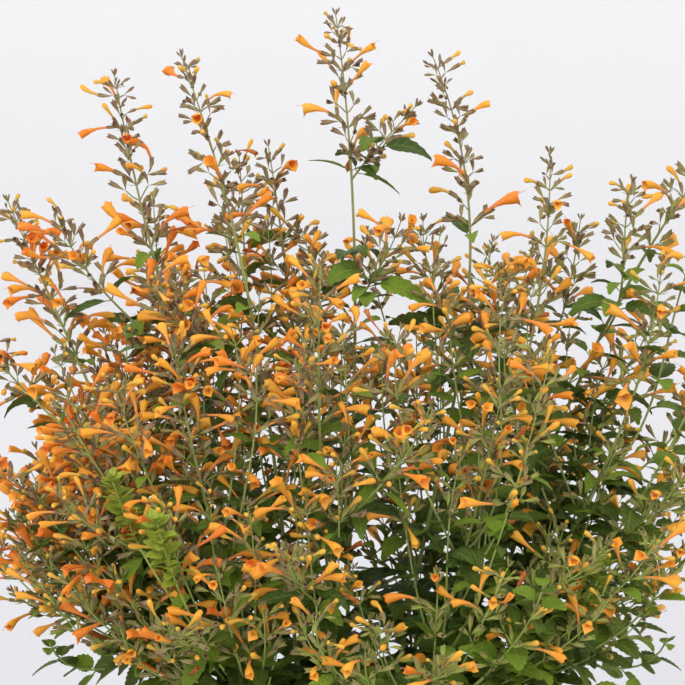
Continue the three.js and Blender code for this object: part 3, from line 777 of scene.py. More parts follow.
class Piece:
    """All that the mesh of one piece is made of, part by part."""

    def __init__(self):
        self.parts = []

    def add(self, shape, corners, finish, nature, cell):
        """corners: (n, corners, 3) in millimetres. nature: (n, 2), the tone and age of each. cell: its
        size on the piece's map."""
        inside = keeps_in_box(corners)
        if inside.any():
            cells = np.broadcast_to(np.array(cell, float), (len(corners), 2))[inside]
            self.parts.append((shape, corners[inside], finish, np.array(nature, float)[inside], cells))

    def build(self, name, finishes):
        finish_list = sorted({part[2] for part in self.parts})
        places = pack_cells(np.vstack([part[4] for part in self.parts]))
        quads, tris, quad_uv, tri_uv, quad_finish, tri_finish = [], [], [], [], [], []
        corners, place, nature = [], [], []
        start = cell = 0
        for shape, points, finish, natures, cells in self.parts:
            count, each = points.shape[:2]
            shift = start + np.arange(count)[:, None, None] * each
            here = places[cell : cell + count]
            for faces, face_map, all_faces, all_uv, all_finish in (
                (shape.quads, shape.quad_map, quads, quad_uv, quad_finish),
                (shape.tris, shape.tri_map, tris, tri_uv, tri_finish),
            ):
                all_faces.append((faces[None] + shift).reshape(-1, faces.shape[1]))
                uv = face_map[None] * here[:, None, None, 2:] + here[:, None, None, :2]
                all_uv.append(uv.reshape(-1, 2))
                all_finish.append(np.full(len(faces) * count, finish_list.index(finish)))
            corners.append(points.reshape(-1, 3))
            place.append(np.broadcast_to(shape.marks, (count, each, 3)).reshape(-1, 3))
            high = np.clip((points[..., 2:] - LOW_GROWTH) / GROWTH_RISE, 0, 1)
            own = np.broadcast_to(natures[:, None], (count, each, 2))
            nature.append(np.concatenate([own, high], 2).reshape(-1, 3))
            start += count * each
            cell += count
        quads, tris = np.vstack(quads), np.vstack(tris)
        mesh = bpy.data.meshes.new(name)
        corners = np.vstack(corners) * MM
        mesh.vertices.add(len(corners))
        mesh.vertices.foreach_set("co", corners.astype(np.float32).ravel())
        loops = np.concatenate([quads.ravel(), tris.ravel()])
        mesh.loops.add(len(loops))
        mesh.loops.foreach_set("vertex_index", loops.astype(np.int32))
        starts = np.concatenate([np.arange(len(quads)) * 4, len(quads) * 4 + np.arange(len(tris)) * 3])
        mesh.polygons.add(len(starts))
        mesh.polygons.foreach_set("loop_start", starts.astype(np.int32))
        material_index = np.concatenate(quad_finish + tri_finish)
        mesh.polygons.foreach_set("material_index", material_index.astype(np.int32))
        mesh.polygons.foreach_set("use_smooth", np.ones(len(starts), bool))
        mesh.update(calc_edges=True)
        for label, values in (("place", place), ("nature", nature)):
            attribute = mesh.attributes.new(label, "FLOAT_VECTOR", "POINT")
            attribute.data.foreach_set("vector", np.vstack(values).astype(np.float32).ravel())
        uv_layer = mesh.uv_layers.new(name="OFBake")
        uv_layer.uv.foreach_set("vector", np.vstack(quad_uv + tri_uv).astype(np.float32).ravel())
        mesh.set_sharp_from_angle(angle=math.radians(SHARP_ANGLE))
        for finish in finish_list:
            mesh.materials.append(finishes(finish))
        piece = bpy.data.objects.new(name, mesh)
        bpy.context.scene.collection.objects.link(piece)
        return piece


def keeps_in_box(corners):
    """Whether each set of corners keeps within a few millimetres of the solids' box."""
    low, high = (np.array(corner) / MM for corner in CAD_BOX)
    slack = 4
    return np.all((corners >= low - slack) & (corners <= high + slack), axis=(1, 2))


def pack_cells(sizes):
    """Puts cells of the given sizes into the unit square in rows. Returns the corner and size of each."""
    spare = 1.1
    width = max(math.sqrt(np.prod(sizes, axis=1).sum() * spare), sizes[:, 0].max())
    corners = np.zeros_like(sizes)
    x = y = row = 0.0
    for i in np.argsort(-sizes[:, 1], kind="stable"):
        if x + sizes[i, 0] > width:
            x, y, row = 0.0, y + row, 0.0
        row = max(row, sizes[i, 1])
        corners[i] = x, y
        x += sizes[i, 0]
    whole = max(width, y + row)
    margin = 0.05 * sizes.min(axis=1, keepdims=True)
    return np.hstack([corners + margin, sizes - 2 * margin]) / whole


# Materials


class Signal:
    """A socket that gives a value. Arithmetic on it adds Math nodes."""

    def __init__(self, finish, socket):
        self.finish, self.socket = finish, socket

    def math(self, operation, *values, **settings):
        settings["operation"] = operation
        return self.finish.node("ShaderNodeMath", settings, dict(enumerate(values)))

    def __add__(self, other):
        return self.math("ADD", self, other)

    __radd__ = __add__

    def __sub__(self, other):
        return self.math("SUBTRACT", self, other)

    def __rsub__(self, other):
        return self.math("SUBTRACT", other, self)

    def __mul__(self, other):
        return self.math("MULTIPLY", self, other)

    __rmul__ = __mul__

    def __pow__(self, other):
        return self.math("POWER", self, other)

    def clamped(self):
        return self.math("ADD", self, 0, use_clamp=True)

    def zigzag(self, height):
        """Up and down between 0 and a height."""
        return self.math("PINGPONG", self, height)

    def rise(self, low, high):
        """0 below low and 1 above high, with a smooth step between."""
        inputs = {"Value": self, "From Min": low, "From Max": high}
        return self.finish.node("ShaderNodeMapRange", {"interpolation_type": "SMOOTHSTEP"}, inputs)


class Finish:
    """A material being made."""

    def __init__(self, name):
        self.material = bpy.data.materials.new(name)
        self.material.use_nodes = True
        self.tree = self.material.node_tree
        self.tree.nodes.clear()
        self.output = self.tree.nodes.new("ShaderNodeOutputMaterial")

    def node(self, kind, settings=None, inputs=None, output=0):
        """A new node's output. Settings are set first, and then the values or links of its sockets."""
        node = self.tree.nodes.new(kind)
        for name, value in (settings or {}).items():
            setattr(node, name, value)
        for name, value in (inputs or {}).items():
            self.feed(node.inputs[name], value)
        return Signal(self, node.outputs[output])

    def feed(self, socket, value):
        if isinstance(value, Signal):
            self.tree.links.new(value.socket, socket)
        elif hasattr(value, "__len__") and len(value) == 3 and socket.type == "RGBA":
            socket.default_value = (*value, 1)
        else:
            socket.default_value = value

    def axes(self, vector):
        """The X, Y and Z of a vector."""
        return [self.node("ShaderNodeSeparateXYZ", inputs={"Vector": vector}, output=axis) for axis in "XYZ"]

    def marks(self, attribute):
        """The three numbers of a mesh attribute."""
        return self.axes(self.node("ShaderNodeAttribute", {"attribute_name": attribute}, output="Vector"))

    def place(self, scale=(1, 1, 1)):
        where = self.node("ShaderNodeTexCoord", output="Object")
        return self.node("ShaderNodeVectorMath", {"operation": "MULTIPLY"}, {0: where, 1: scale})

    def noise(self, scale, detail=2.0, roughness=0.5, at=None):
        inputs = {"Vector": at or self.place(), "Scale": scale, "Detail": detail, "Roughness": roughness}
        return self.node("ShaderNodeTexNoise", inputs=inputs)

    def cells(self, scale, feature="F1"):
        """The distance from the middle, or else the edge, of scattered cells."""
        inputs = {"Vector": self.place(), "Scale": scale}
        return self.node("ShaderNodeTexVoronoi", {"feature": feature}, inputs, output="Distance")

    def blend(self, low, high, share):
        settings = {"data_type": "RGBA", "clamp_factor": True}
        return self.node("ShaderNodeMix", settings, {"Factor": share, 6: low, 7: high}, output=2)

    def bump(self, height, distance, strength=1.0):
        inputs = {"Height": height, "Distance": distance, "Strength": strength}
        return self.node("ShaderNodeBump", inputs=inputs, output="Normal")

    def surface(self, colour, roughness, specular, normal=None, sheen=0.0, glow=None):
        """Ends the material in a Principled shader, and mixes light from behind with it for a glow: its
        share of the surface and its colour."""
        inputs = {"Base Color": colour, "Roughness": roughness, "Specular IOR Level": specular}
        inputs["Sheen Weight"] = sheen
        if normal is not None:
            inputs["Normal"] = normal
        shader = self.node("ShaderNodeBsdfPrincipled", inputs=inputs)
        if glow:
            share, colour = glow
            through = self.node("ShaderNodeBsdfTranslucent", inputs={"Color": colour})
            shader = self.node("ShaderNodeMixShader", inputs={0: share, 1: shader, 2: through})
        self.tree.links.new(shader.socket, self.output.inputs["Surface"])
        return self.material


def colour_prop(name, description, default):
    return bpy.props.FloatVectorProperty(
        name=name, description=description, default=default, subtype="COLOR", size=3, min=0, max=1
    )


def number_prop(name, description, default, **more):
    return bpy.props.FloatProperty(name=name, description=description, default=default, **more)


def length_prop(name, description, default):
    return number_prop(name, description, default, unit="LENGTH", min=0)


def count_prop(name, description, default):
    return bpy.props.IntProperty(name=name, description=description, default=default, min=1)


class HyssopFlowerSettings(bpy.types.PropertyGroup):
    tube: colour_prop("Tube", "The narrow part of an open flower", (0.86, 0.36, 0.09))
    lip: colour_prop("Lips", "The mouth of an open flower", (0.96, 0.39, 0.03))
    golden: colour_prop("Golden", "The yellowest flowers and the ripe buds", (0.98, 0.56, 0.06))
    red: colour_prop("Red", "The reddest flowers", (0.86, 0.17, 0.02))
    bud: colour_prop("Bud", "Young buds", (0.52, 0.44, 0.08))
    withered: colour_prop("Withered", "Old flowers", (0.30, 0.05, 0.02))
    throat: colour_prop("Throat", "The inside of an open flower", (0.70, 0.16, 0.02))
    stamen: colour_prop("Stamens", "The threads that stand out of the mouth", (0.72, 0.36, 0.32))
    calyx_green: colour_prop("Calyx, low", "Calyces low on the plant", (0.33, 0.41, 0.06))
    calyx_brown: colour_prop("Calyx, high", "Calyces high on the plant", (0.35, 0.25, 0.135))
    calyx_teeth: colour_prop("Calyx teeth", "The teeth and the sunny side", (0.20, 0.095, 0.09))
    calyx_hairs: colour_prop("Calyx hairs", "The fine hairs in the grooves of a calyx", (0.54, 0.48, 0.18))
    calyx_dry: colour_prop("Dry calyx", "The oldest calyces", (0.50, 0.42, 0.20))
    # Painted shade: the near-black colour deep inside an empty calyx stands in for the shade there
    calyx_inside_shade: colour_prop("Calyx inside", "Deep in an empty calyx", (0.03, 0.025, 0.015))
    cyme_florets: count_prop("Florets a tuft", "In each tuft of a whorl", 3)


class HyssopStemSettings(bpy.types.PropertyGroup):
    root_radius: length_prop("Root radius", "To the corners of the square stem", 0.0020)
    top_radius: length_prop("Top radius", "Where the spike starts", 0.00108)
    shoot_radius: length_prop("Shoot radius", "At the foot of a side shoot", 0.0011)
    rachis_radius: length_prop("Rachis radius", "At the foot of a shoot's spike", 0.0008)
    tip_radius: length_prop("Tip radius", "At the tip of a spike", 0.00042)
    section_step: length_prop("Section step", "Between two sections of a stem", 0.008)
    green: colour_prop("Green", "Stems low on the plant", (0.28, 0.375, 0.065))
    brown: colour_prop("Brown", "Stems high on the plant", (0.22, 0.175, 0.085))
    hairs: colour_prop("Hairs", "The fine hairs of a stem", (0.42, 0.47, 0.20))
    young: colour_prop("Young", "The stems of young shoots", (0.42, 0.50, 0.10))


class HyssopLeafSettings(bpy.types.PropertyGroup):
    length: length_prop("Length", "Of the lowest leaves, with their stalks", 0.050)
    top_length: length_prop("Top length", "Of the highest leaves", 0.026)
    broad: number_prop("Broad", "Half the width of a low leaf for its length", 0.27)
    slender: number_prop("Slender", "The same of a high leaf", 0.16)
    green: colour_prop("Green", "The upper side of a leaf", (0.195, 0.32, 0.018))
    dark_tone_and_shade: colour_prop("Dark", "The upper side of the darkest leaves", (0.042, 0.08, 0.010))
    # Partly the leaves' own darker tone and partly painted shade: leaves of low tone take this colour to
    # stand in for the shade inside the crown
    vein: colour_prop("Veins", "The midrib and side veins", (0.24, 0.38, 0.07))
    under: colour_prop("Underside", "The paler underside", (0.17, 0.25, 0.07))
    young: colour_prop("Young", "The leaves of young shoots", (0.46, 0.54, 0.06))


class HyssopPotSettings(bpy.types.PropertyGroup):
    height: length_prop("Height", "Of the pot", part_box("pot")[1].z)
    top_radius: length_prop("Top radius", "Of the rim", 0.095)
    foot_radius: length_prop("Foot radius", "Of the foot", 0.067)
    wall: length_prop("Wall", "Thickness of the wall", 0.0065)
    floor: length_prop("Floor", "Thickness of the floor", 0.009)
    rim_height: length_prop("Rim height", "Of the band round the top", 0.027)
    rim_step: length_prop("Rim step", "How far the band stands out", 0.0045)
    clay: colour_prop("Clay", "Fired clay", (0.47, 0.19, 0.09))
    damp: colour_prop("Damp clay", "Darker clay near the foot", (0.30, 0.105, 0.05))
    bloom: colour_prop("Bloom", "Pale salts on the clay", (0.66, 0.47, 0.36))
    pits: colour_prop("Pits", "Small pits in the clay", (0.20, 0.08, 0.04))
    soil: colour_prop("Soil", "Potting soil", (0.030, 0.018, 0.011))
    soil_dry: colour_prop("Dry soil", "Drier crumbs and bark", (0.10, 0.062, 0.038))
    specks: colour_prop("Specks", "Pale grains in the soil", (0.55, 0.53, 0.48))


class HyssopStageSettings(bpy.types.PropertyGroup):
    distance: length_prop("Camera distance", "From the middle of the view", 1.6)
    height: length_prop("View height", "Of the middle of the view", 0.415)
    elevation: number_prop("Elevation", "Above the horizon", math.radians(6), unit="ROTATION")
    focal_pixels: number_prop("Focal length", "In pixels of the picture", 2667)
    picture_pixels: count_prop("Picture", "Width of the picture in pixels", 685)
    floor_radius: length_prop("Floor radius", "Of the flat floor before it turns up", 5.0)
    wall_height: length_prop("Wall height", "Of the floor's upturned edge", 3.4)
    floor: colour_prop("Floor", "The pale floor", (0.935, 0.935, 0.947))
    # Painted shade: the darker floor colour round the pot, which fades out away from the plant and up the
    # turned edge
    floor_painted_shade: colour_prop("Floor, low", "The floor round the pot", (0.538, 0.536, 0.572))
    sky_colour: colour_prop("Sky colour", "The light all round", (1.0, 0.998, 0.985))
    sky: number_prop("Sky", "Brightness of the light all round", 1.12)
    key: number_prop("Key light", "Power of the main soft light", 48, unit="POWER")
    fill: number_prop("Fill light", "Power of the second soft light", 20, unit="POWER")
    back: number_prop("Back light", "Power of the soft light behind", 9, unit="POWER")


# Light that shines through a petal, calyx or leaf: its share of the surface, and its colour
PETAL_GLOW = (0.22, (0.95, 0.34, 0.03))
CALYX_GLOW = (0.16, (0.50, 0.38, 0.06))
LEAF_GLOW = (0.27, (0.42, 0.50, 0.015))


def petal_finish(settings):
    """Petals, stamens and buds: part 0 is a flower's outside, 1 its throat, 2 a stamen and 3 a bud."""
    it = Finish("petal")
    along, around, part = it.marks("place")
    tone, age, _ = it.marks("nature")
    where = it.node("ShaderNodeCombineXYZ", inputs={0: along * 3, 1: around * 26, 2: tone * 40})
    streak = it.noise(1.0, 3, at=where)
    fleck = it.noise(520, 3)
    belly = (around * 2).zigzag(1.0)
    open_ = it.blend(settings.tube, settings.lip, along.rise(0.12, 0.62))
    open_ = it.blend(open_, settings.golden, (belly * 0.6 + 0.55 - tone).clamped() * along.rise(0.2, 0.7))
    redness = tone.rise(0.6, 0.98) * (0.75 - belly * 0.3) + along.rise(0.86, 1.0) * 0.25
    open_ = it.blend(open_, settings.red, redness)
    open_ = it.blend(open_, settings.throat, part.rise(0.2, 0.9) * 0.7)
    bud = it.blend(settings.bud, settings.golden, (along * 0.7 + age * 0.9 - 0.25).clamped())
    bud = it.blend(bud, settings.lip, (age - 0.55).rise(0, 0.4) * along.rise(0.2, 0.8))
    colour = it.blend(open_, bud, part.rise(2.5, 2.9))
    colour = it.blend(colour, settings.stamen, part.rise(1.5, 1.9) * (1 - part.rise(2.1, 2.5)))
    colour = it.blend(colour, settings.withered, age.rise(0.93, 0.99) * 0.85)
    colour = it.blend(colour, settings.red, streak.rise(0.5, 0.72) * 0.42)
    colour = it.blend(colour, settings.golden, fleck.rise(0.48, 0.72) * 0.4)
    return it.surface(colour, 0.42 + 0.16 * fleck, 0.35, it.bump(streak, 0.0004, 0.5), glow=PETAL_GLOW)


def calyx_finish(settings):
    """Calyces and bracts, browner towards the plant's top and left. Part 1 is the inside of a calyx, which is
    painted near black as shade.
    """
    it = Finish("calyx")
    along, around, part = it.marks("place")
    tone, age, high = it.marks("nature")
    grain = it.noise(1400, 3, 0.6)
    patch = it.noise(60, 2)
    ribs = (around * 10).zigzag(1.0)
    x, _, _ = it.axes(it.place())
    greener = x.rise(-0.08, 0.2) * (1 - high) * 0.45
    shade = (high * 1.1 + tone * 0.9 + patch * 0.5 - 0.62 - greener).clamped()
    colour = it.blend(settings.calyx_green, settings.calyx_brown, shade)
    toothed = along.rise(0.35, 0.95) * (0.4 + 0.55 * shade) + age.rise(0.2, 0.0) * 0.3
    colour = it.blend(colour, settings.calyx_teeth, toothed)
    colour = it.blend(colour, settings.calyx_hairs, (1 - ribs) * 0.35 + (grain - 0.5) * 0.7)
    colour = it.blend(colour, settings.calyx_dry, age.rise(0.8, 1.0) * 0.5)
    # Painted shade: the inside of a calyx is darkened nearly to black
    colour = it.blend(colour, settings.calyx_inside_shade, part.rise(0.3, 0.9) * 0.75)
    relief = it.bump(grain + ribs * 0.6, 0.0004, 0.7)
    return it.surface(colour, 0.74 + 0.2 * grain, 0.1, relief, sheen=0.03, glow=CALYX_GLOW)


def stem_finish(settings):
    it = Finish("stem")
    _, around, _ = it.marks("place")
    tone, age, high = it.marks("nature")
    grain = it.noise(1.0, 4, 0.6, at=it.place((900, 900, 160)))
    edge = (around * 8).zigzag(1.0)
    shade = (high * 1.1 + tone * 0.35 + it.noise(22, 2) * 0.5 - 0.55).clamped()
    colour = it.blend(settings.green, settings.brown, shade)
    colour = it.blend(colour, settings.hairs, (1 - edge) * 0.35 + (grain - 0.5) * 0.5)
    colour = it.blend(colour, settings.young, age.rise(0.4, 1.0) * 0.8)
    return it.surface(colour, 0.55 + 0.25 * grain, 0.3, it.bump(grain, 0.0003, 0.6))


def leaf_finish(settings):
    it = Finish("leaf")
    along, across, under = it.marks("place")
    tone, age, _ = it.marks("nature")
    width = across.math("ABSOLUTE", across)
    midrib = 1 - width.rise(0.02, 0.12)
    veins = 1 - (along * LEAF_TEETH - width * 1.15).zigzag(0.5).rise(0.0, 0.13)
    net = it.cells(420, "DISTANCE_TO_EDGE")
    mottle = it.noise(130, 4, 0.6)
    # Partly real tone and partly painted shade: low-toned leaves are darkened towards the dark colour to
    # stand in for the shade inside the crown
    colour = it.blend(settings.dark_tone_and_shade, settings.green, (tone.rise(0.3, 0.85) + mottle * 0.4 - 0.22).clamped())
    colour = it.blend(colour, settings.vein, (veins * 0.55 + (1 - net.rise(0.0, 0.12)) * 0.2).clamped())
    colour = it.blend(colour, settings.vein, midrib * 0.75)
    colour = it.blend(colour, settings.under, under.rise(0.04, 0.3) * 0.8)
    colour = it.blend(colour, settings.young, age * 0.85)
    relief = mottle * 0.25 - veins * 0.5 - midrib * 0.5 + net.rise(0.0, 0.2) * 0.35
    return it.surface(colour, 0.46 + 0.2 * mottle, 0.3, it.bump(relief, 0.0009, 0.8), glow=LEAF_GLOW)


def clay_finish(settings):
    it = Finish("fired_clay")
    _, _, z = it.axes(it.place())
    cloud = it.noise(14, 5, 0.6)
    grit = it.noise(700, 3, 0.7)
    pits = it.cells(260)
    rings = it.noise(1.0, 2, at=it.place((3, 3, 900)))
    colour = it.blend(settings.clay, settings.damp, (1 - z.rise(0.0, 0.09)) * 0.55 + (cloud - 0.5) * 0.9)
    salts = (cloud.rise(0.5, 0.72) * 0.55 + z.rise(0.11, 0.15) * 0.2) * (0.4 + grit * 0.9)
    colour = it.blend(colour, settings.bloom, salts)
    colour = it.blend(colour, settings.pits, (1 - pits.rise(0.0, 0.16)) * 0.7)
    relief = grit * 0.35 + rings * 0.8 + pits.rise(0.0, 0.2) * 0.5
    return it.surface(colour, 0.78 + 0.18 * grit, 0.3, it.bump(relief, 0.0006, 0.7))


def soil_finish(settings):
    it = Finish("potting_soil")
    crumbs = it.noise(220, 5, 0.7)
    colour = it.blend(settings.soil, settings.soil_dry, crumbs.rise(0.42, 0.75))
    speckled = (1 - it.cells(150).rise(0.0, 0.085)) * it.noise(40, 1).rise(0.56, 0.62)
    colour = it.blend(colour, settings.specks, speckled)
    return it.surface(colour, 0.85 + 0.13 * crumbs, 0.2, it.bump(crumbs, 0.002, 0.9))


def floor_finish(settings):
    """The floor's colour holds painted shade: it is darker round the plant, and paler away from it and up its
    turned edge.
    """
    it = Finish("pale_floor")
    x, y, height = it.axes(it.place())
    away = (x * x + y * y) ** 0.5
    # Painted shade on the floor, fading away from the plant and upwards
    paler = away.math("MINIMUM", away, 4.3) * 0.128 + height * 0.3 + it.noise(3, 2) * 0.02
    return it.surface(it.blend(settings.floor_painted_shade, settings.floor, paler), 0.8, 0.1)


FINISHES = {
    "petal": (petal_finish, "hyssop_flowers"),
    "calyx": (calyx_finish, "hyssop_flowers"),
    "stem": (stem_finish, "hyssop_stems"),
    "leaf": (leaf_finish, "hyssop_leaves"),
    "fired_clay": (clay_finish, "hyssop_pot"),
    "potting_soil": (soil_finish, "hyssop_pot"),
    "pale_floor": (floor_finish, "hyssop_stage"),
}


def finish_named(name):
    make, group = FINISHES[name]
    return bpy.data.materials.get(name) or make(getattr(bpy.context.scene, group))


# Leaves, stems and florets

# How far every second corner round a stem lies from its axis, as a share of the others' distance
STEM_GROOVE, SPRIG_GROOVE = 0.66, 0.85
# A stem's size on the piece's map: a share of its length, and a width
TUBE_CELL_SHARE, TUBE_CELL_WIDTH = 0.3, 9


def add_tube(piece, it, start, end, radii, settings, nature):
    """A square stem with slightly hollow sides, from one distance to another."""
    count = max(3, nearest_whole((end - start) / (settings.section_step / MM)))
    distance = np.linspace(start, end, count)
    at, _, side, back = it.line.frame(distance)
    radius = np.interp(distance, (start, end), radii)
    columns, groove = (4, SPRIG_GROOVE) if it.sprig else (8, STEM_GROOVE)
    angle = ring_angles(columns, 45)
    share = np.where(np.arange(columns) % 2 == 0, 1.0, groove)
    out = np.cos(angle)[:, None] * side[:, None] + np.sin(angle)[:, None] * back[:, None]
    corners = at[:, None] + out * share[:, None] * radius[:, None, None]
    points = np.vstack([corners.reshape(-1, 3), at[0], at[-1]])
    cell = ((end - start) * TUBE_CELL_SHARE, TUBE_CELL_WIDTH)
    piece.add(tube_shape(count, columns), points[None], "stem", [nature], cell)


def lookup(node, places):
    """Which of the places holds a corner of the solid, or None."""
    near = np.linalg.norm(node_corners(node)[None] - np.array(places)[:, None], axis=-1).min(axis=1)
    return int(near.argmin()) if near.min() < SAME_PLACE else None


def on_stalk(frame_, angle, rise, tilt, length, run):
    """The point, the way, and the upper and cross directions at a run along one stalk."""
    return along_bend(frame_[0], *ways_of(frame_, angle, rise, tilt), frame_[1], length, run)


def solid_turn(node, frame_, angle, rise, tilt, length, run, over=0.0, forward=0.0):
    """How far the solids turned this leaf or floret round its stem to keep it clear, or 0 if they left it
    out. Its corner lies at a run along its stalk, over it and forward."""
    corners = []
    for turn in TURNS:
        point, way, above, _ = on_stalk(frame_, angle + math.radians(turn), rise, tilt, length, run)
        corners.append(point + above * over + way * forward)
    found = lookup(node, corners)
    return math.radians(TURNS[found]) if found is not None else 0.0


# How many more leaves the scene has for each of the solids', on the least and the most leafy side of the
# plant, how far up a stem they reach, and the index of the first of them
MAIN_EXTRA = (1.6, 3.2)
SHOOT_EXTRA = (0.5, 2.8)
EXTRA_REACH = 0.9
FIRST_EXTRA = 100
# The size of those on shoots, and how much broader they are where the plant is leafiest
SMALL_LEAVES = 0.74
LEAFY_BREADTH = 1.3
# Leaves below this share of the way up are broad ones
BROAD_BELOW = 0.62


def tuft_pairs(it):
    """Crowded pairs of leaves round the tip of a shoot that doesn't flower."""
    for i in range(it.tuft.pairs):
        left = 1 - i / it.tuft.pairs
        distance = it.line.length - it.tuft.reach * left**1.4
        yield i, distance, 1 - left, math.radians(90 * i + between(-25, 25, it.number, i, TUFT_TURN_KEY))


def leafiness(it):
    """How leafy a stem is, from 0 to 1. The plant's right is the leafier side."""
    return float(np.clip((it.line.knots[-1][0] - 40) / 120, 0, 1))


def leaf_pairs(it):
    """The pairs of leaves that the solids can have too, and then those of the scene alone: the index,
    distance, share of the way up and angle of each."""
    first = FIRST_LEAF_HEIGHT if it.main else LEAF_PAIR_STEP / 2
    last = it.end - TOP_LEAF_GAP
    lowest_share = 0 if it.main else SHOOT_LEAF_SHARE
    turn = between(0, 90, it.number, 2)
    count = max(1, nearest_whole((last - first) / LEAF_PAIR_STEP))
    if it.sprig and it.solid:
        count = SPRIG_LEAVES - 1
    for i in range(count + 1):
        share = mix(lowest_share, 1, i / (count + 1))
        yield i, mix(first, last, i / count), share, math.radians(turn + 90 * i)
    extra = nearest_whole(count * mix(*(MAIN_EXTRA if it.main else SHOOT_EXTRA), leafiness(it)))
    for i in range(extra):
        up = (i + between(0.35, 0.65, it.number, i, EXTRA_LEAF_KEY)) / extra
        distance = mix(first, last, up * (EXTRA_REACH if it.main else 1))
        share = mix(lowest_share, 1, (i + 0.5) / (extra + 1))
        yield FIRST_EXTRA + i, distance, share, math.radians(turn + 90 * i + 45)


def leaf_facts(it, index, side, share, angle, settings):
    """The length, half width, rise off the stem, droop and angle of a leaf."""
    keys = (it.number, index, side, LEAF_KEY)
    length = mix(settings.length, settings.top_length, share) / MM * between(0.85, 1.12, *keys, 1)
    half_width = length * mix(settings.broad, settings.slender, share) * between(0.9, 1.1, *keys, 2)
    turned = angle + math.pi * side + math.radians(between(-12, 12, *keys, 5))
    return length, half_width, between(42, 62, *keys, 3), between(0, 66, *keys, 4), turned


def add_leaves(piece, it, settings, shapes):
    batches = {}
    youth = it.tuft.youth if it.tuft else 0.0
    for index, distance, share, angle in tuft_pairs(it) if it.tuft else leaf_pairs(it):
        solid = it.solid and index < FIRST_EXTRA
        frame_ = it.faceted_frame(distance) if solid else it.line.frame(distance)
        small = youth == 1 or not (solid or it.tuft)
        kind = "small" if small or it.sprig else "broad" if share < BROAD_BELOW or it.tuft else "slender"
        stalks, natures, cells = batches.setdefault(kind, (Stalks(), [], []))
        for side in (0, 1):
            keys = (it.number, index, side)
            length, half_width, rise, droop, turned = leaf_facts(it, index, side, share, angle, settings)
            if solid:
                turned += solid_turn(it.stem_node, frame_, turned, rise, -droop, length, length)
            if it.tuft:
                length = mix(*it.tuft.lengths, share) * between(0.85, 1.15, *keys, TUFT_LENGTH_KEY)
                half_width, droop = length * it.tuft.broad, droop - mix(20, 70, share) * youth
            elif small and not it.main:
                length = length * SMALL_LEAVES
                half_width = half_width * SMALL_LEAVES * mix(1, LEAFY_BREADTH, leafiness(it))
            roll = between(-0.5, 0.5, *keys, LEAF_ROLL_KEY)
            stalks.add(frame_, turned, rise, -droop, length, length, half_width, half_width, roll)
            tone = draw(*keys, LEAF_TONE_KEY)
            natures.append((tone, max(youth, 0.25 * share * tone)))
            cells.append((length, half_width * 2.4))
    for kind, (stalks, natures, cells) in batches.items():
        piece.add(shapes[kind], stalks.lay(shapes[kind]), "leaf", natures, cells)


def whorls(it):
    """The index, distance, angle and share of the spike's length of each whorl."""
    count = nearest_whole(it.spike / WHORL_STEP)
    for j in range(count):
        crowded = 1 - (1 - j / count) ** WHORL_CROWDING
        distance = it.end + FIRST_WHORL + (it.spike - FIRST_WHORL) * crowded
        yield j, distance, math.radians(between(0, 90, it.number, 1) + 90 * j), j / count


# How likely a floret is to be open or in bud, by its whorl's share of the spike's length, and how much
# likelier the first of a pair is to be in bud
OPEN_CHANCE = ((0, 0.26), (0.35, 0.26), (0.7, 0.1), (0.8, 0))
BUD_CHANCE = ((0, 0.12), (0.4, 0.22), (0.75, 0.5), (1, 0.25))
FIRST_OF_PAIR_BUDS = 0.3
WITHERED_SHARE = 0.045
# The share of the solids' open florets that are open here, by height
TOP_OPEN = ((420, 490), (1, 0.45))
# The same for the sprigs of the scene alone, where the plant flowers as usual, and the size of their florets
SPRIG_OPEN = 0.75
SPRIG_FLORETS = 0.95
# How much more the plant flowers than usual, from its left to its right, and by height
SIDE_FLOWERS = ((-140, 130), (1.35, 0.4))
HEIGHT_FLOWERS = ((230, 330, 440, 500), (0.2, 0.95, 1, 0.4))
# How much browner and redder florets are, from the plant's left to its right
SIDE_TONE = ((-140, 140), (0.12, -0.2))
# Where a calyx is young, and where a tuft has a floret less, by its whorl's share of the spike's length
YOUNG_FROM = 0.6
SPARSE_FROM = 0.7
STALK_RADIUS = 0.42
TIP_FLORETS = 5
# Sizes on the piece's map
CALYX_CELL, BUD_CELL, FLOWER_CELL, BRACT_CELL = (10, 9), (14, 9), (26, 20), (7, 4)
# How far the lower lip opens, how far the lips reach and how wide the throat is. Plain flowers are made
# of fewer corners and have no stamens.
FLOWER_FORMS = {"a": (0.9, 1.0, 1.0), "b": (1.3, 0.95, 1.08), "c": (0.2, 0.6, 0.96), "d": (0.6, 1.15, 1.0)}
PLAIN_SIDES = 8
WIDEST_PLAIN = 1.06


def chance(table, share):
    return float(np.interp(share, *zip(*table)))


def floweriness(place):
    """How much more the plant flowers at a place than usual."""
    return float(np.interp(place[0], *SIDE_FLOWERS) * np.interp(place[2], *HEIGHT_FLOWERS))


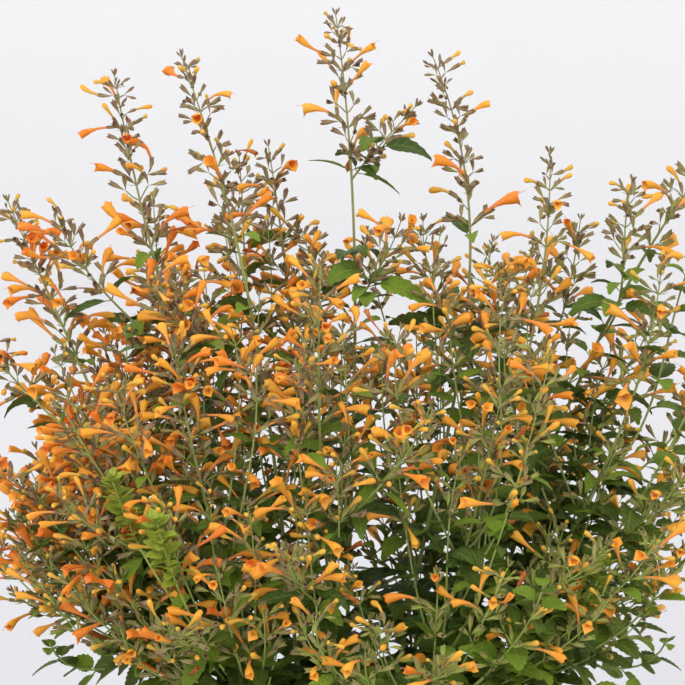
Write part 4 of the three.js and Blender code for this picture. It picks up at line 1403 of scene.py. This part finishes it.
class Spike:
    """The florets, stalks and bracts of one spike, gathered by shape."""

    def __init__(self):
        self.batches = {}

    def put(self, kind, finish, frame_, stalk, length, scales, cell, tone, age):
        """stalk: its angle round the stem, rise and tilt."""
        stalks, natures, cells = self.batches.setdefault((kind, finish), (Stalks(), [], []))
        stalks.add(frame_, *stalk, length, *scales)
        natures.append((tone, age))
        cells.append(cell)

    def put_floret(self, frame_, stalk, size, share, stage, keys, plain=""):
        """A calyx, and the flower or bud in it. The stage is open, bud or calyx."""
        tone = float(np.clip(draw(*keys, 7) + np.interp(frame_[0][0], *SIDE_TONE), 0, 1))
        length = FLORET_RUN * size
        young = share > YOUNG_FROM and stage == "calyx"
        kind = "closed_calyx" if young else plain + ("spent_calyx" if stage == "calyx" else "calyx")
        ages = (0, 0.3) if young else (0.5, 1) if stage == "calyx" else (0.2, 0.6)
        calyx, age = size * (0.82 if young else 1), between(*ages, *keys, 8)
        self.put(kind, "calyx", frame_, stalk, length, (calyx,) * 3, CALYX_CELL, tone, age)
        if stage == "open":
            kind = plain + "flower_" + "abcd"[int(draw(*keys, 9) * 4)]
            withered = draw(*keys, 10) < WITHERED_SHARE
            along = size * between(0.92, 1.05, *keys, 11)
            wide = along * (0.6 if withered else between(0.9, 1.15, *keys, 13))
            age = 1.0 if withered else 0.6
            self.put(kind, "petal", frame_, stalk, length, (along, wide, wide), FLOWER_CELL, tone, age)
        elif stage == "bud":
            ripe = draw(*keys, 12) * (1 - 0.4 * share)
            kind = "bud_a" if ripe < 0.3 else "bud_b" if ripe < 0.6 else "bud_c"
            self.put(kind, "petal", frame_, stalk, length, (size,) * 3, BUD_CELL, tone, ripe)

    def put_cyme(self, it, frame_, index, side, angle, share, florets):
        """A tuft of florets on a short stalk of its own."""
        keys = (it.number, index, side, CYME_KEY)
        length = mix(9, 2.5, share) * between(0.6, 1.35, *keys, 1)
        turned = angle + math.pi * side + math.radians(between(-24, 24, *keys, 2))
        stalk = (turned, between(34, 62, *keys, 3), between(12, 60, *keys, 4))
        scales = (length, STALK_RADIUS, STALK_RADIUS)
        self.put("stalk", "stem", frame_, stalk, length, scales, BRACT_CELL, draw(*keys, 5), 0)
        point, way, *_ = on_stalk(frame_, *stalk, length, length)
        side_way = unit(np.cross(BACK, way))
        here = (point, way, side_way, np.cross(way, side_way))
        opens = chance(OPEN_CHANCE, share) * floweriness(point)
        buds = chance(BUD_CHANCE, share) * min(1, floweriness(point))
        for place in range(florets):
            keys = (it.number, index, side, CYME_FLORET_KEY + place)
            size = mix(1.02, 0.76, share) * between(0.8, 1.06, *keys, 3) * (1 if it.solid else SPRIG_FLORETS)
            turn = 2 * math.pi * (place + between(-0.25, 0.25, *keys, 6)) / florets + angle
            stalk = (turn, between(12, 52, *keys, 4), between(-48, 62, *keys, 5))
            luck = draw(*keys, 1)
            stage = "open" if luck < opens else "bud" if luck < opens + buds else "calyx"
            self.put_floret(here, stalk, size, share, stage, keys, "plain_")

    def put_bract(self, it, frame_, index, side, angle):
        keys = (it.number, index, side, BRACT_KEY)
        stalk = (angle + math.pi * side, between(50, 80, *keys, 1), between(-10, 30, *keys, 2))
        long = between(4, 8, *keys, 4)
        self.put("bract", "calyx", frame_, stalk, long, (long, 0.8, 0.8), BRACT_CELL, draw(*keys, 3), 0.3)

    def put_tip(self, it):
        """The last small tuft at the spike's tip."""
        frame_ = it.line.frame(it.line.length - 0.5)
        for place in range(TIP_FLORETS):
            keys = (it.number, TIP_KEY, place)
            turn = math.radians(360 / TIP_FLORETS * place)
            stalk = (turn, between(8, 34, *keys, 1), between(30, 75, *keys, 2))
            size = between(0.34, 0.55, *keys, 3)
            length, tone = FLORET_RUN * size, draw(*keys, 4)
            self.put("closed_calyx", "calyx", frame_, stalk, length, (size,) * 3, BRACT_CELL, tone, 0.1)

    def add_to(self, piece, shapes):
        for (kind, finish), (stalks, natures, cells) in self.batches.items():
            piece.add(shapes[kind], stalks.lay(shapes[kind]), finish, natures, cells)


def own_floret(it, smooth, rough, index, side, share, angle):
    """The stalk, size and stage of a floret that the solids can have too. It is turned as theirs is."""
    keys = (it.number, index, side, FLORET_FAN if side else -FLORET_FAN)
    size = mix(1, 0.72, share) * between(0.88, 1.08, *keys, 1) * (1 if it.solid else SPRIG_FLORETS)
    rise, tilt = between(22, 52, *keys, 2), between(-34, 36, *keys, 3)
    turned = angle + math.pi * side + math.radians(keys[-1] + between(-7, 7, *keys, 4))
    first = side == 0 and share < BUD_WHORLS
    if it.solid and (side == 0 or not it.sprig):
        node = it.stem_node if it.sprig else it.spike_node
        corner = (FLORET_RUN, LIP_HEIGHT, LIP_REACH) if first else (CALYX_RUN, CALYX_RADIUS, 0)
        corner = [size * part for part in corner]
        turned += solid_turn(node, rough, turned, rise, tilt, FLORET_RUN * size, *corner)
    shown = np.interp(smooth[0][2], *TOP_OPEN) if it.solid else SPRIG_OPEN * floweriness(smooth[0])
    buds = chance(BUD_CHANCE, share) + FIRST_OF_PAIR_BUDS * (side == 0)
    if first and draw(it.number, index, OPEN_KEY) < shown:
        stage = "open"
    elif draw(it.number, index, side, FLORET_KEY, 1) < buds:
        stage = "bud"
    else:
        stage = "calyx"
    return (turned, rise, tilt), size, stage


def add_spike(piece, it, settings, shapes):
    spike = Spike()
    places = list(whorls(it))
    if not it.sprig:
        for (index, distance, angle, share), (_, after, _, _) in zip(places, places[1:]):
            halfway = it.line.frame((distance + after) / 2)
            facts = (angle + math.pi / 4, share, settings.cyme_florets - 1)
            for side in (0, 1):
                spike.put_cyme(it, halfway, BETWEEN_KEY + index, side, *facts)
    for index, distance, angle, share in places:
        smooth = it.line.frame(distance)
        rough = it.faceted_frame(distance) if it.solid else smooth
        florets = settings.cyme_florets - (share > SPARSE_FROM)
        for side in (0, 1):
            stalk, size, stage = own_floret(it, smooth, rough, index, side, share, angle)
            keys = (it.number, index, side, FLORET_KEY)
            spike.put_floret(smooth, stalk, size, share, stage, keys, "plain_" if it.sprig else "")
            spike.put_cyme(it, smooth, index, side, angle, share, florets)
            spike.put_bract(it, smooth, index, side, angle)
    spike.put_tip(it)
    spike.add_to(piece, shapes)


@functools.cache
def floret_shapes():
    shapes = {
        "bud_a": bud_shape(16),
        "bud_b": bud_shape(21),
        "bud_c": bud_shape(27),
        "calyx": calyx_shape(1.5, 1.4, 1.5),
        "spent_calyx": calyx_shape(1.7, 1.6, 1.55),
        "closed_calyx": calyx_shape(0.7, 1.6, 1.5, 6),
        "plain_calyx": calyx_shape(1.5, 1.4, 1.55, 6),
        "plain_spent_calyx": calyx_shape(1.7, 1.6, 1.6, 6),
        "bract": bract_shape(),
        "stalk": stalk_shape(),
    }
    for letter, (gape, reach, girth) in FLOWER_FORMS.items():
        shapes["flower_" + letter] = flower_shape(gape, reach, girth)
        plain = flower_shape(gape, reach, min(girth, WIDEST_PLAIN), PLAIN_SIDES, stamens=False)
        shapes["plain_flower_" + letter] = plain
    return shapes


@functools.cache
def leaf_shapes():
    return {
        "broad": leaf_shape(LEAF_TEETH, 0.58),
        "slender": leaf_shape(LEAF_TEETH - 1, 0.72, 0.8),
        "small": leaf_shape(LEAF_TEETH - 2, 0.68, 0.75, plain=True),
    }


# Pot and soil

POT_SEGMENTS = 96
POT_ROUNDING = 2.2
POT_STEP = 9
DRAIN_HOLES = 3
DRAIN_RADIUS = 0.005
DRAIN_CIRCLE = 0.032
# The soil's fall from its middle to its edge, its rings between the two, its gap to the pot's wall and
# floor, and the height of its waves and how deep they lie
SOIL_FALL = 4
SOIL_RINGS = 30
WALL_GAP, FLOOR_GAP = 0.9, 0.35
SOIL_WAVES, SOIL_SINK = 0.9, 0.6
# The lumps that lie on it: how many, how far from its edge, how far up, and the range of each of their
# three sizes
LUMPS = 420
LUMP_MARGIN = 4
LUMP_LIFT = 0.3
LUMP_SIZES = ((0.8, 3.2), (0.7, 1.8), (0.5, 1.3))
LUMP_RINGS = [round_ring(run, r, r, r, 5) for run, r in ((-0.5, 0.75), (0.1, 1), (0.6, 0.7))]
LUMP = Shape(LUMP_RINGS, [0, 0.2, 0.5, 0.8, 1], (-0.95, 0, 0, 0))


def turned_body(profile, shift, finish, cell):
    """A piece with a closed turned body. The profile runs from the axis round to the axis, and shift
    moves its corners by their radius, height and turn."""
    profile = np.array(profile, float)
    body = profile[1:-1]
    radius = np.repeat(body[:, 0], POT_SEGMENTS)
    height = np.repeat(body[:, 1], POT_SEGMENTS)
    turn = np.tile(2 * np.pi * np.arange(POT_SEGMENTS) / POT_SEGMENTS, len(body))
    radius, height = shift(radius, height, turn)
    corners = np.column_stack([radius * np.cos(turn), radius * np.sin(turn), height])
    corners = np.vstack([corners, (0, 0, profile[0, 1]), (0, 0, profile[-1, 1])])
    piece = Piece()
    piece.add(tube_shape(len(body), POT_SEGMENTS), corners[None], finish, [(0.5, 0.5)], cell)
    return piece


def rounded(points, radius, steps=4):
    """A profile with the corners between its ends rounded."""
    points = [np.array(p, float) for p in points]
    out = [points[0]]
    for before, here, after in zip(points, points[1:], points[2:]):
        a, b = before - here, after - here
        reach = min(radius, 0.45 * np.linalg.norm(a), 0.45 * np.linalg.norm(b))
        a, b = here + unit(a) * reach, here + unit(b) * reach
        for t in np.linspace(0, 1, steps + 1):
            out.append((1 - t) ** 2 * a + 2 * (1 - t) * t * here + t**2 * b)
    out.append(points[-1])
    return np.array(out)


def divided(profile, step):
    out = [profile[0]]
    for a, b in zip(profile, profile[1:]):
        pieces = max(1, int(np.linalg.norm(b - a) / step))
        out += [a + (b - a) * (k + 1) / pieces for k in range(pieces)]
    return np.array(out)


def lump_corners(radius):
    """Small lumps and chips of bark that lie about on the soil."""
    rows = []
    base = np.column_stack([LUMP.across, LUMP.over, LUMP.run])
    for i in range(LUMPS):
        keys = (CRUMB_KEY, i)
        turn, reach = between(0, 2 * math.pi, *keys, 1), radius * math.sqrt(draw(*keys, 2))
        spin = between(0, math.pi, *keys, 3)
        size = np.array([between(*span, *keys, key) for key, span in enumerate(LUMP_SIZES, 4)])
        rough = np.array([between(0.8, 1.2, *keys, 7, k) for k in range(len(base))])[:, None]
        c, s = math.cos(spin), math.sin(spin)
        lump = base * rough * size @ np.array([[c, s, 0], [-s, c, 0], [0, 0, 1]])
        height = SOIL_TOP - SOIL_FALL * reach / radius + LUMP_LIFT
        rows.append(lump + (reach * math.cos(turn), reach * math.sin(turn), height))
    return np.array(rows)


# Operators


def settle(piece, node):
    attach(piece, "root")
    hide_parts(node)


class HYSSOP_OT_pot(bpy.types.Operator):
    """Makes the round clay pot with its thick rim and drain holes"""

    bl_idname = "hyssop.pot"
    bl_label = "Clay pot"

    def execute(self, context):
        it = context.scene.hyssop_pot
        top, foot, wall = it.top_radius / MM, it.foot_radius / MM, it.wall / MM
        height, floor = it.height / MM, it.floor / MM
        band = height - it.rim_height / MM
        corners = [
            (0, 0),
            (foot, 0),
            (top - it.rim_step / MM - 2, band),
            (top - 1, band + 0.6),
            (top, height),
            (top - it.rim_step / MM - wall, height),
            (foot - wall, floor),
            (0, floor),
        ]

        def wobble(radius, height_, turn):
            """Slight waves in the walls, which leave the base, the rim and the axis as they are."""
            wave = 0.22 * np.sin(3 * turn + height_ / 30) + 0.12 * np.sin(7 * turn + 1.3 + height_ / 11)
            off_axis, off_base = np.clip((radius - 30) / 30, 0, 1), np.clip(height_ / 10, 0, 1)
            below_rim = np.clip((height - 2 - height_) / 6, 0, 1)
            return radius + (wave - 0.35) * (off_axis * off_base * below_rim), height_

        profile = divided(rounded(corners, POT_ROUNDING), POT_STEP)
        pot = turned_body(profile, wobble, "fired_clay", (1, 1)).build("clay_pot", finish_named)
        for i in range(DRAIN_HOLES):
            angle = 2 * math.pi * i / DRAIN_HOLES + math.pi / 6
            place = (DRAIN_CIRCLE * math.cos(angle), DRAIN_CIRCLE * math.sin(angle), 0)
            bpy.ops.mesh.primitive_cylinder_add(vertices=24, radius=DRAIN_RADIUS, depth=0.03, location=place)
            drill = context.object
            cut = pot.modifiers.new("drain", "BOOLEAN")
            cut.operation, cut.solver, cut.object = "DIFFERENCE", "EXACT", drill
            context.view_layer.objects.active = pot
            bpy.ops.object.modifier_apply(modifier=cut.name)
            bpy.data.objects.remove(drill)
        settle(pot, "pot")
        return {"FINISHED"}


class HYSSOP_OT_soil(bpy.types.Operator):
    """Fills the pot with crumbly soil"""

    bl_idname = "hyssop.soil"
    bl_label = "Potting soil"

    def execute(self, context):
        it = context.scene.hyssop_pot
        wall, floor = it.wall / MM, it.floor / MM
        inner = (it.top_radius - it.rim_step) / MM - wall
        inner_foot = it.foot_radius / MM - wall

        def inner_radius(z):
            return mix(inner_foot, inner, (z - floor) / (it.height / MM - floor)) - WALL_GAP

        edge = SOIL_TOP - SOIL_FALL
        bottom = floor + FLOOR_GAP
        profile = [(0, bottom), (inner_radius(floor), bottom)]
        for k in range(SOIL_RINGS):
            inward = k / SOIL_RINGS
            profile.append((inner_radius(edge) * (1 - inward), mix(edge, SOIL_TOP, inward)))
        profile.append((0, SOIL_TOP))

        def crumble(radius, height, turn):
            """Uneven waves over the soil's top."""
            x, y = radius * np.cos(turn), radius * np.sin(turn)
            waves = (
                np.sin(x * 0.41 + 1.3 * np.sin(y * 0.23)) * np.sin(y * 0.37 + 1.1 * np.sin(x * 0.29))
                + 0.6 * np.sin(x * 0.93 + 2 * np.sin(y * 0.61)) * np.sin(y * 0.87 + x * 0.31)
                + 0.4 * np.sin(x * 1.9 + y * 1.3) * np.sin(y * 2.3 - x * 0.8)
            )
            return radius, height + np.where(height > edge - 1, waves * SOIL_WAVES - SOIL_SINK, 0)

        piece = turned_body(profile, crumble, "potting_soil", (3, 3))
        lumps = lump_corners(inner_radius(edge) - LUMP_MARGIN)
        piece.add(LUMP, lumps, "potting_soil", np.full((len(lumps), 2), 0.5), (0.1, 0.1))
        settle(piece.build("potting_soil", finish_named), "soil")
        return {"FINISHED"}


# How much thinner sprigs and tufted shoots are than side shoots: at their foot, where the spike starts
# and at the tip
SPRIG_FOOT, SPRIG_TOP, SPRIG_TIP = 0.9, 0.85, 0.9


class HYSSOP_OT_stems(bpy.types.Operator):
    """Grows the square stems and side shoots with their toothed leaves"""

    bl_idname = "hyssop.stems"
    bl_label = "Leafy stems"

    def execute(self, context):
        stem, leaf = context.scene.hyssop_stems, context.scene.hyssop_leaves
        solids, sprigs, tufted = plant()
        for node in sorted({it.stem_node for it in solids}):
            piece = Piece()
            for it in solids + sprigs + tufted:
                if it.stem_node != node:
                    continue
                foot = stem.root_radius if it.main else stem.shoot_radius
                top = stem.top_radius if it.main else stem.rachis_radius
                if it.sprig or it.tuft:
                    foot, top = foot * SPRIG_FOOT, top * SPRIG_TOP
                nature = (draw(it.number, STEM_TONE_KEY), it.tuft.youth if it.tuft else 0)
                add_tube(piece, it, 0, it.end, (foot / MM, top / MM), stem, nature)
                add_leaves(piece, it, leaf, leaf_shapes())
            settle(piece.build("leafy_" + node, finish_named), node)
        return {"FINISHED"}


class HYSSOP_OT_spikes(bpy.types.Operator):
    """Grows the whorled spikes of flowers, buds and calyces"""

    bl_idname = "hyssop.spikes"
    bl_label = "Flower spikes"

    def execute(self, context):
        stem, flower = context.scene.hyssop_stems, context.scene.hyssop_flowers
        solids, sprigs, _ = plant()
        for own in solids:
            piece = Piece()
            for it in solids + sprigs:
                if it.spike_node != own.spike_node:
                    continue
                top = (stem.top_radius if it.main else stem.rachis_radius) / MM
                tip = stem.tip_radius / MM
                if it.sprig:
                    top, tip = top * SPRIG_TOP, tip * SPRIG_TIP
                nature = (draw(it.number, RACHIS_TONE_KEY), 0)
                add_tube(piece, it, it.end - 0.2, it.line.length, (top, tip), stem, nature)
                add_spike(piece, it, flower, floret_shapes())
            settle(piece.build("flower_" + own.spike_node, finish_named), own.spike_node)
        return {"FINISHED"}


FLOOR_SEGMENTS = 96
FLOOR_HEIGHT = -0.0004
# The radius of the floor's bend up to its edge, and the share of its own radius between two of its rings
FLOOR_BEND = 1.6
FLOOR_STEP = 0.25
# Each light's setting, its place and its size
LIGHTS = (
    ("key", (-1.5, -2.0, 2.3), 1.8),
    ("fill", (2.2, -1.6, 1.2), 2.0),
    ("back", (-0.6, 2.6, 2.4), 2.2),
)
LIGHTS_AIM = (0, 0, 0.38)
SENSOR_WIDTH = 36


class HYSSOP_OT_stage(bpy.types.Operator):
    """Sets up the pale floor, the soft lights and the camera"""

    bl_idname = "hyssop.stage"
    bl_label = "Stage"

    def execute(self, context):
        it = context.scene.hyssop_stage
        scene = context.scene
        profile = [(FLOOR_STEP * k * it.floor_radius, 0) for k in range(1, 4)]
        for a in np.linspace(0, math.pi / 2, 13):
            profile.append((it.floor_radius + FLOOR_BEND * math.sin(a), FLOOR_BEND * (1 - math.cos(a))))
        profile.append((profile[-1][0], it.wall_height))
        corners = [(0.0, 0.0, FLOOR_HEIGHT)]
        for radius, height in profile:
            for k in range(FLOOR_SEGMENTS):
                angle = 2 * math.pi * k / FLOOR_SEGMENTS
                corners.append((radius * math.cos(angle), radius * math.sin(angle), height + FLOOR_HEIGHT))
        faces = []
        for k in range(FLOOR_SEGMENTS):
            after = (k + 1) % FLOOR_SEGMENTS
            faces.append((0, 1 + k, 1 + after))
            for low in range(1, 1 + (len(profile) - 1) * FLOOR_SEGMENTS, FLOOR_SEGMENTS):
                high = low + FLOOR_SEGMENTS
                faces.append((low + k, high + k, high + after, low + after))
        mesh = bpy.data.meshes.new("pale_floor")
        mesh.from_pydata(corners, [], faces)
        mesh.shade_smooth()
        mesh.materials.append(finish_named("pale_floor"))
        floor = bpy.data.objects.new("pale_floor", mesh)
        scene.collection.objects.link(floor)

        world = bpy.data.worlds.new("studio")
        world.use_nodes = True
        background = world.node_tree.nodes["Background"]
        background.inputs["Color"].default_value = (*it.sky_colour, 1)
        background.inputs["Strength"].default_value = it.sky
        scene.world = world
        for name, place, size in LIGHTS:
            light = bpy.data.lights.new(name + "_light", "AREA")
            light.energy, light.size = getattr(it, name), size
            to_plant = Vector(LIGHTS_AIM) - Vector(place)
            self.place(bpy.data.objects.new(name + "_light", light), place, to_plant)

        camera = bpy.data.objects.new("camera", bpy.data.cameras.new("camera"))
        back = Vector((0, -math.cos(it.elevation), math.sin(it.elevation)))
        self.place(camera, Vector((0, 0, it.height)) + back * it.distance, -back)
        camera.data.sensor_width = SENSOR_WIDTH
        camera.data.lens = SENSOR_WIDTH * it.focal_pixels / it.picture_pixels
        scene.camera = camera
        scene.view_settings.view_transform = "Standard"
        return {"FINISHED"}

    def place(self, thing, location, way):
        """Puts a light or camera into the scene, looking along a way."""
        thing.location = location
        thing.rotation_mode = "QUATERNION"
        thing.rotation_quaternion = way.to_track_quat("-Z", "Y")
        bpy.context.scene.collection.objects.link(thing)


class HYSSOP_PT_panel(bpy.types.Panel):
    """Lists the steps that make the potted plant"""

    bl_label = "Potted giant hyssop"
    bl_space_type = "VIEW_3D"
    bl_region_type = "UI"
    bl_category = "Hyssop"

    def draw(self, context):
        for operator in OPERATORS:
            self.layout.operator(operator.bl_idname)
        for name, _ in SETTINGS:
            box = self.layout.box()
            group = getattr(context.scene, name)
            for label in group.__annotations__:
                box.prop(group, label)


OPERATORS = (HYSSOP_OT_pot, HYSSOP_OT_soil, HYSSOP_OT_stems, HYSSOP_OT_spikes, HYSSOP_OT_stage)
SETTINGS = (
    ("hyssop_pot", HyssopPotSettings),
    ("hyssop_stems", HyssopStemSettings),
    ("hyssop_leaves", HyssopLeafSettings),
    ("hyssop_flowers", HyssopFlowerSettings),
    ("hyssop_stage", HyssopStageSettings),
)


def register():
    for name, group in SETTINGS:
        bpy.utils.register_class(group)
        setattr(bpy.types.Scene, name, bpy.props.PointerProperty(type=group))
    for cls in (*OPERATORS, HYSSOP_PT_panel):
        bpy.utils.register_class(cls)


def unregister():
    for cls in (HYSSOP_PT_panel, *reversed(OPERATORS)):
        bpy.utils.unregister_class(cls)
    for name, group in reversed(SETTINGS):
        delattr(bpy.types.Scene, name)
        bpy.utils.unregister_class(group)


def main():
    register()
    bpy.ops.hyssop.pot()
    bpy.ops.hyssop.soil()
    bpy.ops.hyssop.stems()
    bpy.ops.hyssop.spikes()
    bpy.ops.hyssop.stage()
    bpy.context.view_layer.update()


if __name__ == "__main__":
    main()
